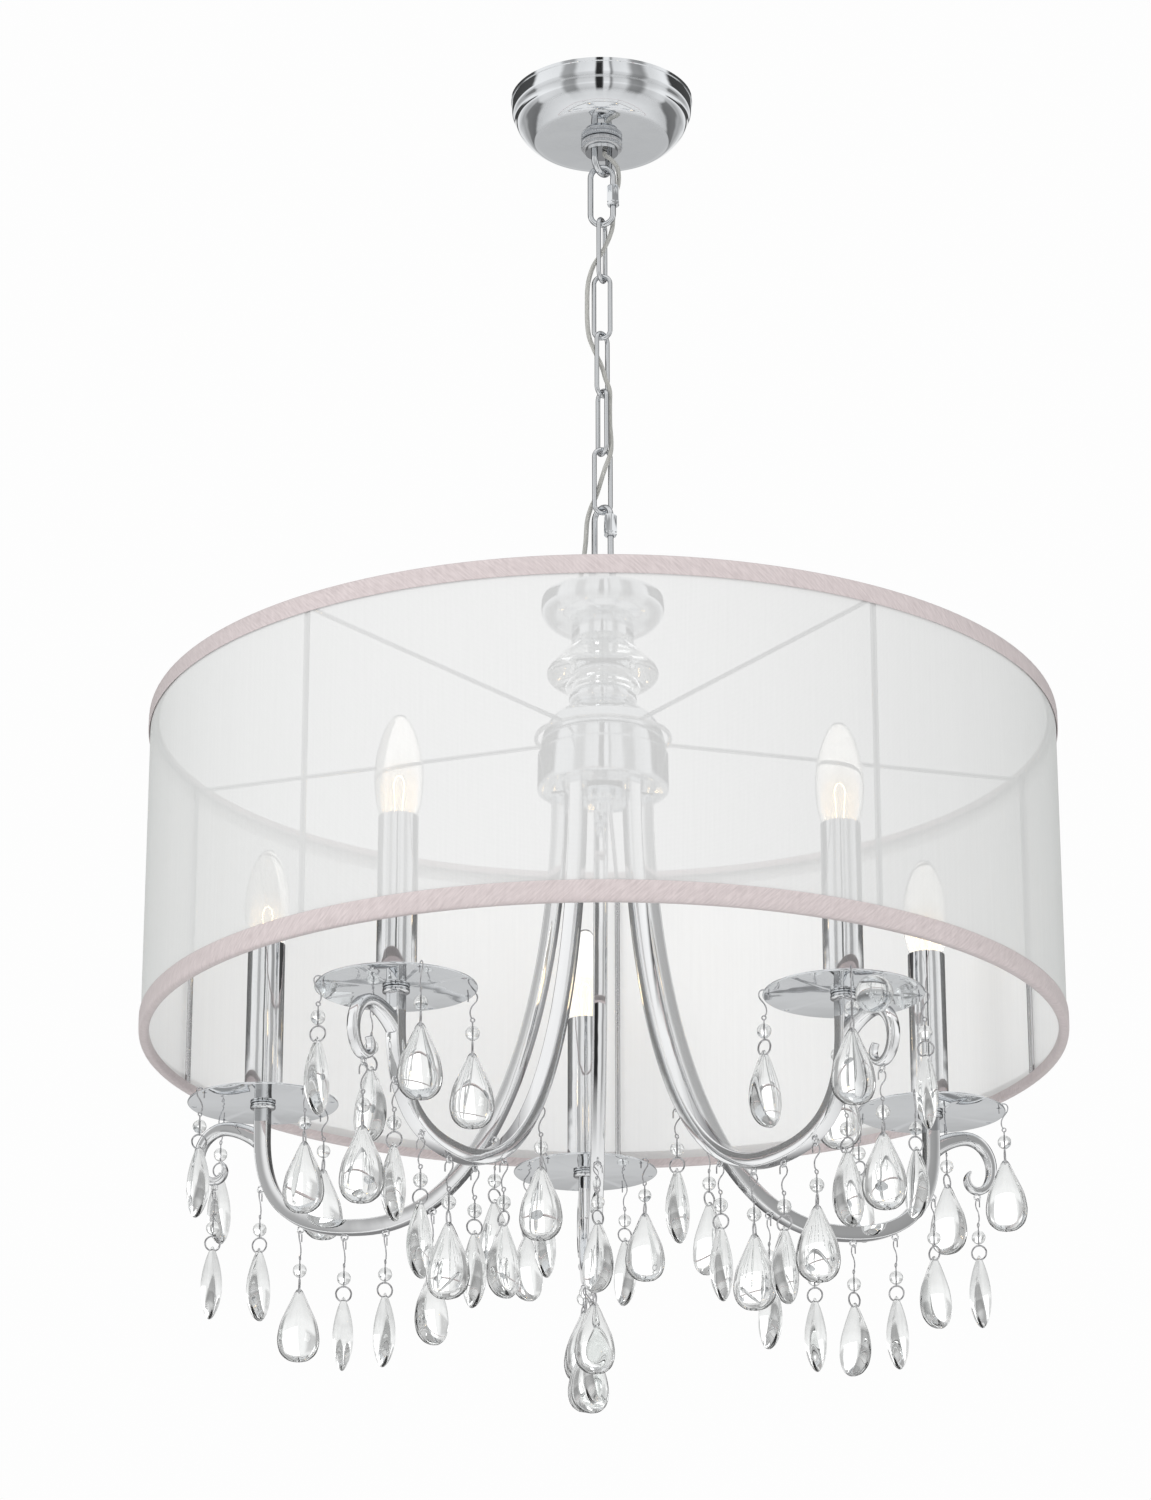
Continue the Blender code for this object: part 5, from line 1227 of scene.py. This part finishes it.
def light_pieces(looks):
    plate = disc_form()
    for index, azimuth in enumerate(ARM_AZIMUTHS, 1):
        x, y, z = in_world(azimuth, LIGHT_RADIUS, 0.0, DISC_UNDERSIDE)
        arm(looks, index, azimuth)
        name = f"drip_disc_{index}"
        plate_here = placed(plate, outwards_yaw(azimuth), (x, y, z))
        make(f"{name}_plate", [plate_here], looks["chrome"], [name], sharp=30)
        candle(looks, index, (x, y, 0.0))
        strands(looks, index, azimuth)


# --- Strands --------------------------------------------------------------------------------------


def drop_form():
    """A smooth almond of glass, broad along X and pear-shaped from its broad side.

    Each level ring is an ellipse drawn to a softly pointed edge at either side: its half width follows
    the outline, and its half depth rises and falls as a sine of the way down.
    """
    side = spline(DROP_SHARES + DROP_FOOT_SHARES, 4)
    half_width = np.maximum(side[:, :1], 0.0) * DROP_WIDTH / 2
    down = np.clip(side[:, 1:], 0.0, 1.0)
    half_depth = np.sin(np.pi * down**DROP_FULLNESS) ** DROP_ROUNDNESS * DROP_THICKNESS / 2
    turn = 2 * np.pi * np.arange(40) / 40
    swell = np.sign(np.sin(turn)) * np.abs(np.sin(turn)) ** DROP_EDGE
    height = np.repeat(DROP_TOP - down * DROP_LENGTH, len(turn), axis=1)
    return skin(np.stack((half_width * np.cos(turn), half_depth * swell, height), axis=2), caps=False)


def bead_form():
    """A bead, nearly a ball, with a flat at each end where the pins go in."""
    levels = np.radians(BEAD_LEVELS)
    across, up = BEAD_RADIUS * np.sin(levels), BEAD_RADIUS * np.cos(levels)
    profile = np.stack((across, BEAD_CENTRE + up), axis=1)
    profile[0, 1], profile[-1, 1] = profile[1, 1], profile[-2, 1]
    return turned(profile, 16)


def hook_forms():
    """The wire over the eye: a tail, an arc, a run and a small loop, and the pin through the bead."""
    centre = HOOK_CROWN - HOOK_RADIUS
    section = circle(HOOK_WIRE, 6)
    turn = np.pi * np.arange(13) / 12
    arc = np.stack((-HOOK_RADIUS * np.cos(turn), centre + HOOK_RADIUS * np.sin(turn)), axis=1)
    waist, foot = (0.0002, centre - HOOK_TAIL * 1.5), (-0.0001, -HOOK_LENGTH)
    side_pulls = ((HOOK_RADIUS, centre - 0.0026), (0.0018, centre - 0.0034))
    foot_pulls = ((-0.0022, centre - 0.0084), (-0.0024, -HOOK_LENGTH + 0.0012))
    run = [bezier((HOOK_RADIUS, centre), *side_pulls, waist, 8)]
    run.append(bezier(waist, *foot_pulls, foot, 10))
    hook = in_plane(np.vstack(((-HOOK_RADIUS, centre - HOOK_TAIL), arc, *run)))
    loop = in_plane(circle(HOOK_LOOP_RADIUS, 12) + (0.0, -HOOK_LENGTH - HOOK_LOOP_DROP))
    pin = in_plane(((0.0, -HOOK_LENGTH - 2 * HOOK_LOOP_DROP), (0.0, PIN_END)))
    return [carried(hook, section), carried(loop, section, closed=True), carried(pin, section)]


def ring_form():
    path = np.insert(circle(DROP_RING_RADIUS, 28)[:, ::-1] + (0.0, RING_CENTRE), 0, 0.0, axis=1)
    return carried(path, circle(DROP_RING_WIRE, 8), (1.0, 0.0, 0.0), closed=True)


def hung(pivot, hook_yaw, drop_yaw):
    """The forms of one strand, of glass and of wire, that hangs from its pivot."""
    glass_forms = [
        placed(drop_form(), drop_yaw, pivot),
        placed(bead_form(), drop_yaw + BEAD_TWIST, pivot),
    ]
    wire_forms = [placed(form, hook_yaw, pivot) for form in hook_forms()]
    return glass_forms, [*wire_forms, placed(ring_form(), drop_yaw, pivot)]


def in_world(azimuth, out, side, up):
    """A place in the frame of the light at an azimuth, in the object's own frame."""
    turn = math.radians(outwards_yaw(azimuth))
    x = out * math.cos(turn) - side * math.sin(turn)
    y = out * math.sin(turn) + side * math.cos(turn)
    return x, y, up


def hole_pivot(azimuth, angle):
    turn = math.radians(angle)
    out = LIGHT_RADIUS + HOOK_PIVOT_RADIUS * math.cos(turn)
    return in_world(azimuth, out, HOOK_PIVOT_RADIUS * math.sin(turn), PIVOT_HEIGHT)


def eye_pivot(azimuth, centre):
    return in_world(azimuth, centre[0], 0.0, centre[1] - EYE_RADIUS)


def strands(looks, index, azimuth):
    """The two strands of a light that swing, and its nine others, which hang still."""
    yaw = outwards_yaw(azimuth)
    eye_yaw, hole_yaw = yaw + 90.0, yaw + CAD_HOLE
    eyes = [eye_pivot(azimuth, arm_eye(arm_path(), place)) for place in ARM_EYES]
    swinging(looks, f"strand_arm_{index}", eyes.pop(CAD_EYE), eye_yaw, eye_yaw + CAD_ARM_TWIST)
    pivot = hole_pivot(azimuth, CAD_HOLE)
    swinging(looks, f"strand_disc_{index}", pivot, hole_yaw, hole_yaw + CAD_HOLE_TWIST)
    hanging = [(pivot, eye_yaw) for pivot in eyes]
    hanging += [(hole_pivot(azimuth, angle), yaw + angle) for angle in HOLE_ANGLES]
    hanging.append((eye_pivot(azimuth, scroll_eye()), eye_yaw))
    glass_forms, wire_forms = [], []
    for (pivot, hook_yaw), drop_yaw in zip(hanging, DROP_YAWS[index - 1]):
        glass_here, wire_here = hung(pivot, hook_yaw, drop_yaw)
        glass_forms += glass_here
        wire_forms += wire_here
    solids = [f"arm_{index}", f"drip_disc_{index}"]
    make(f"light_{index}_drops", glass_forms, looks["clear_glass"], solids, sharp=80)
    make(f"light_{index}_hooks", wire_forms, looks["hook_wire"], solids)


def swinging(looks, body, pivot, hook_yaw, drop_yaw):
    glass_forms, wire_forms = hung(pivot, hook_yaw, drop_yaw)
    make(f"{body}_drop", glass_forms, looks["clear_glass"], [body], body, sharp=80)
    make(f"{body}_hook", wire_forms, looks["hook_wire"], body=body)


def ball(looks):
    """The glass ball on a short wire under the photographed side's right disc."""
    level = np.pi * np.arange(25) / 24
    profile = np.stack((BALL_RADIUS * np.sin(level), BALL_RADIUS * np.cos(level)), axis=1)
    place = in_world(ARM_AZIMUTHS[0], *BALL_PLACE)
    glass_ball = placed(turned(profile, 48), 0.0, place)
    make("disc_ball", [glass_ball], looks["clear_glass"], sharp=60)
    top = DISC_UNDERSIDE - BALL_PLACE[2] + BALL_WIRE_SINK
    wire = in_plane(((0.0, BALL_RADIUS - BALL_WIRE_SINK), (0.0, top)))
    wire = placed(carried(wire, circle(HOOK_WIRE, 6)), 0.0, place)
    make("disc_ball_wire", [wire], looks["hook_wire"])


# --- Camera, light and floor ----------------------------------------------------------------------


def camera():
    data = bpy.data.cameras.new("camera")
    data.lens = CAMERA_LENS
    data.sensor_width = 36.0
    data.clip_end = 50.0
    obj = in_scene("camera", data)
    obj.location = CAMERA_PLACE
    obj.rotation_euler = (math.pi / 2 + CAMERA_TILT, 0.0, 0.0)
    bpy.context.scene.camera = obj


def studio():
    """A white studio with grey below and a few dark panels, which only metal and glass show."""
    world = bpy.data.worlds.new("studio")
    bpy.context.scene.world = world
    world.use_nodes = True
    tree = world.node_tree
    tree.nodes.clear()
    direction = node(tree, "ShaderNodeTexCoord").outputs["Generated"]
    x, y, z = node(tree, "ShaderNodeSeparateXYZ", {"Vector": direction}).outputs
    turn = math_node(tree, "ARCTAN2", x, math_node(tree, "MULTIPLY", y, -1.0))
    around = math_node(tree, "MULTIPLY_ADD", turn, 0.5 / math.pi, 0.5)
    height = math_node(tree, "MULTIPLY_ADD", z, 0.5, 0.5)
    behind = spread(tree, y, 0.0, 1.0, -0.2, 0.3)
    level = mixed(tree, behind, ramp(tree, height, FRONT_LEVELS), ramp(tree, height, BACK_LEVELS))
    for panels, reach in ((PANELS, PANEL_REACH), (SIDE_FLAGS, FLAG_REACH)):
        shades = ramp(tree, around, [(0.5 + turn / 360, shade) for turn, shade in panels])
        shades = math_node(tree, "MAXIMUM", shades, ramp(tree, height, reach))
        level = math_node(tree, "MULTIPLY", level, shades)
    rays = node(tree, "ShaderNodeLightPath").outputs
    even = mixed(tree, rays["Is Glossy Ray"], EVEN_LEVEL, level)
    straight = spread(tree, y, 0.42, 1.0, 0.10, 0.75)
    through = math_node(tree, "MULTIPLY", spread(tree, level, 0.60, 1.0), straight)
    even = mixed(tree, rays["Is Transmission Ray"], even, through)
    strength = mixed(tree, rays["Is Camera Ray"], even, BACKDROP_LEVEL)
    light = node(tree, "ShaderNodeBackground", {"Color": (1.0, 1.0, 1.0, 1.0), "Strength": strength})
    node(tree, "ShaderNodeOutputWorld", {"Surface": light.outputs["Background"]})


def lamps():
    for name, place, size, power in LAMPS:
        data = bpy.data.lights.new(name, "AREA")
        data.size = size
        data.energy = power
        lamp = in_scene(name, data)
        lamp.location = place
        lamp.visible_glossy = False
        aim = Vector(LAMP_AIM) - Vector(place)
        lamp.rotation_euler = aim.to_track_quat("-Z", "Y").to_euler()


def floor():
    """A wide pale floor well below the lamp, which fades out at its edge and from below."""
    mesh = bpy.data.meshes.new("floor")
    signs = ((-1, -1), (1, -1), (1, 1), (-1, 1))
    corners = [(x * FLOOR_HALF, y * FLOOR_HALF, FLOOR_HEIGHT) for x, y in signs]
    mesh.from_pydata(corners, [], [(0, 1, 2, 3)])
    look, tree, shader = principled("floor", Roughness=0.9, Base_Color=(0.93, 0.93, 0.93, 1.0))
    place = object_place(tree)
    flat = node(tree, "ShaderNodeVectorMath", {0: place, 1: (1.0, 1.0, 0.0)}, operation="MULTIPLY")
    away = node(tree, "ShaderNodeVectorMath", {0: flat.outputs["Vector"]}, operation="LENGTH")
    fade = spread(tree, away.outputs["Value"], 1.0, 0.0, 1.0, 4.5)
    above = math_node(tree, "SUBTRACT", 1.0, backfacing(tree))
    feed(tree, shader, {"Alpha": math_node(tree, "MULTIPLY", fade, above)})
    mesh.materials.append(look)
    in_scene("floor", mesh)


def main():
    bpy.context.scene.view_settings.view_transform = "Standard"
    camera()
    looks = make_looks()
    cord(looks)
    canopy(looks)
    canopy_fittings(looks)
    for which in ("upper", "lower"):
        quick_link(looks, which)
    chain(looks)
    column(looks)
    hub(looks)
    shade(looks)
    light_pieces(looks)
    ball(looks)
    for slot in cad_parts["ceiling_bracket"].material_slots:
        slot.material = looks["zinc_steel"][0]
    studio()
    lamps()
    floor()


main()
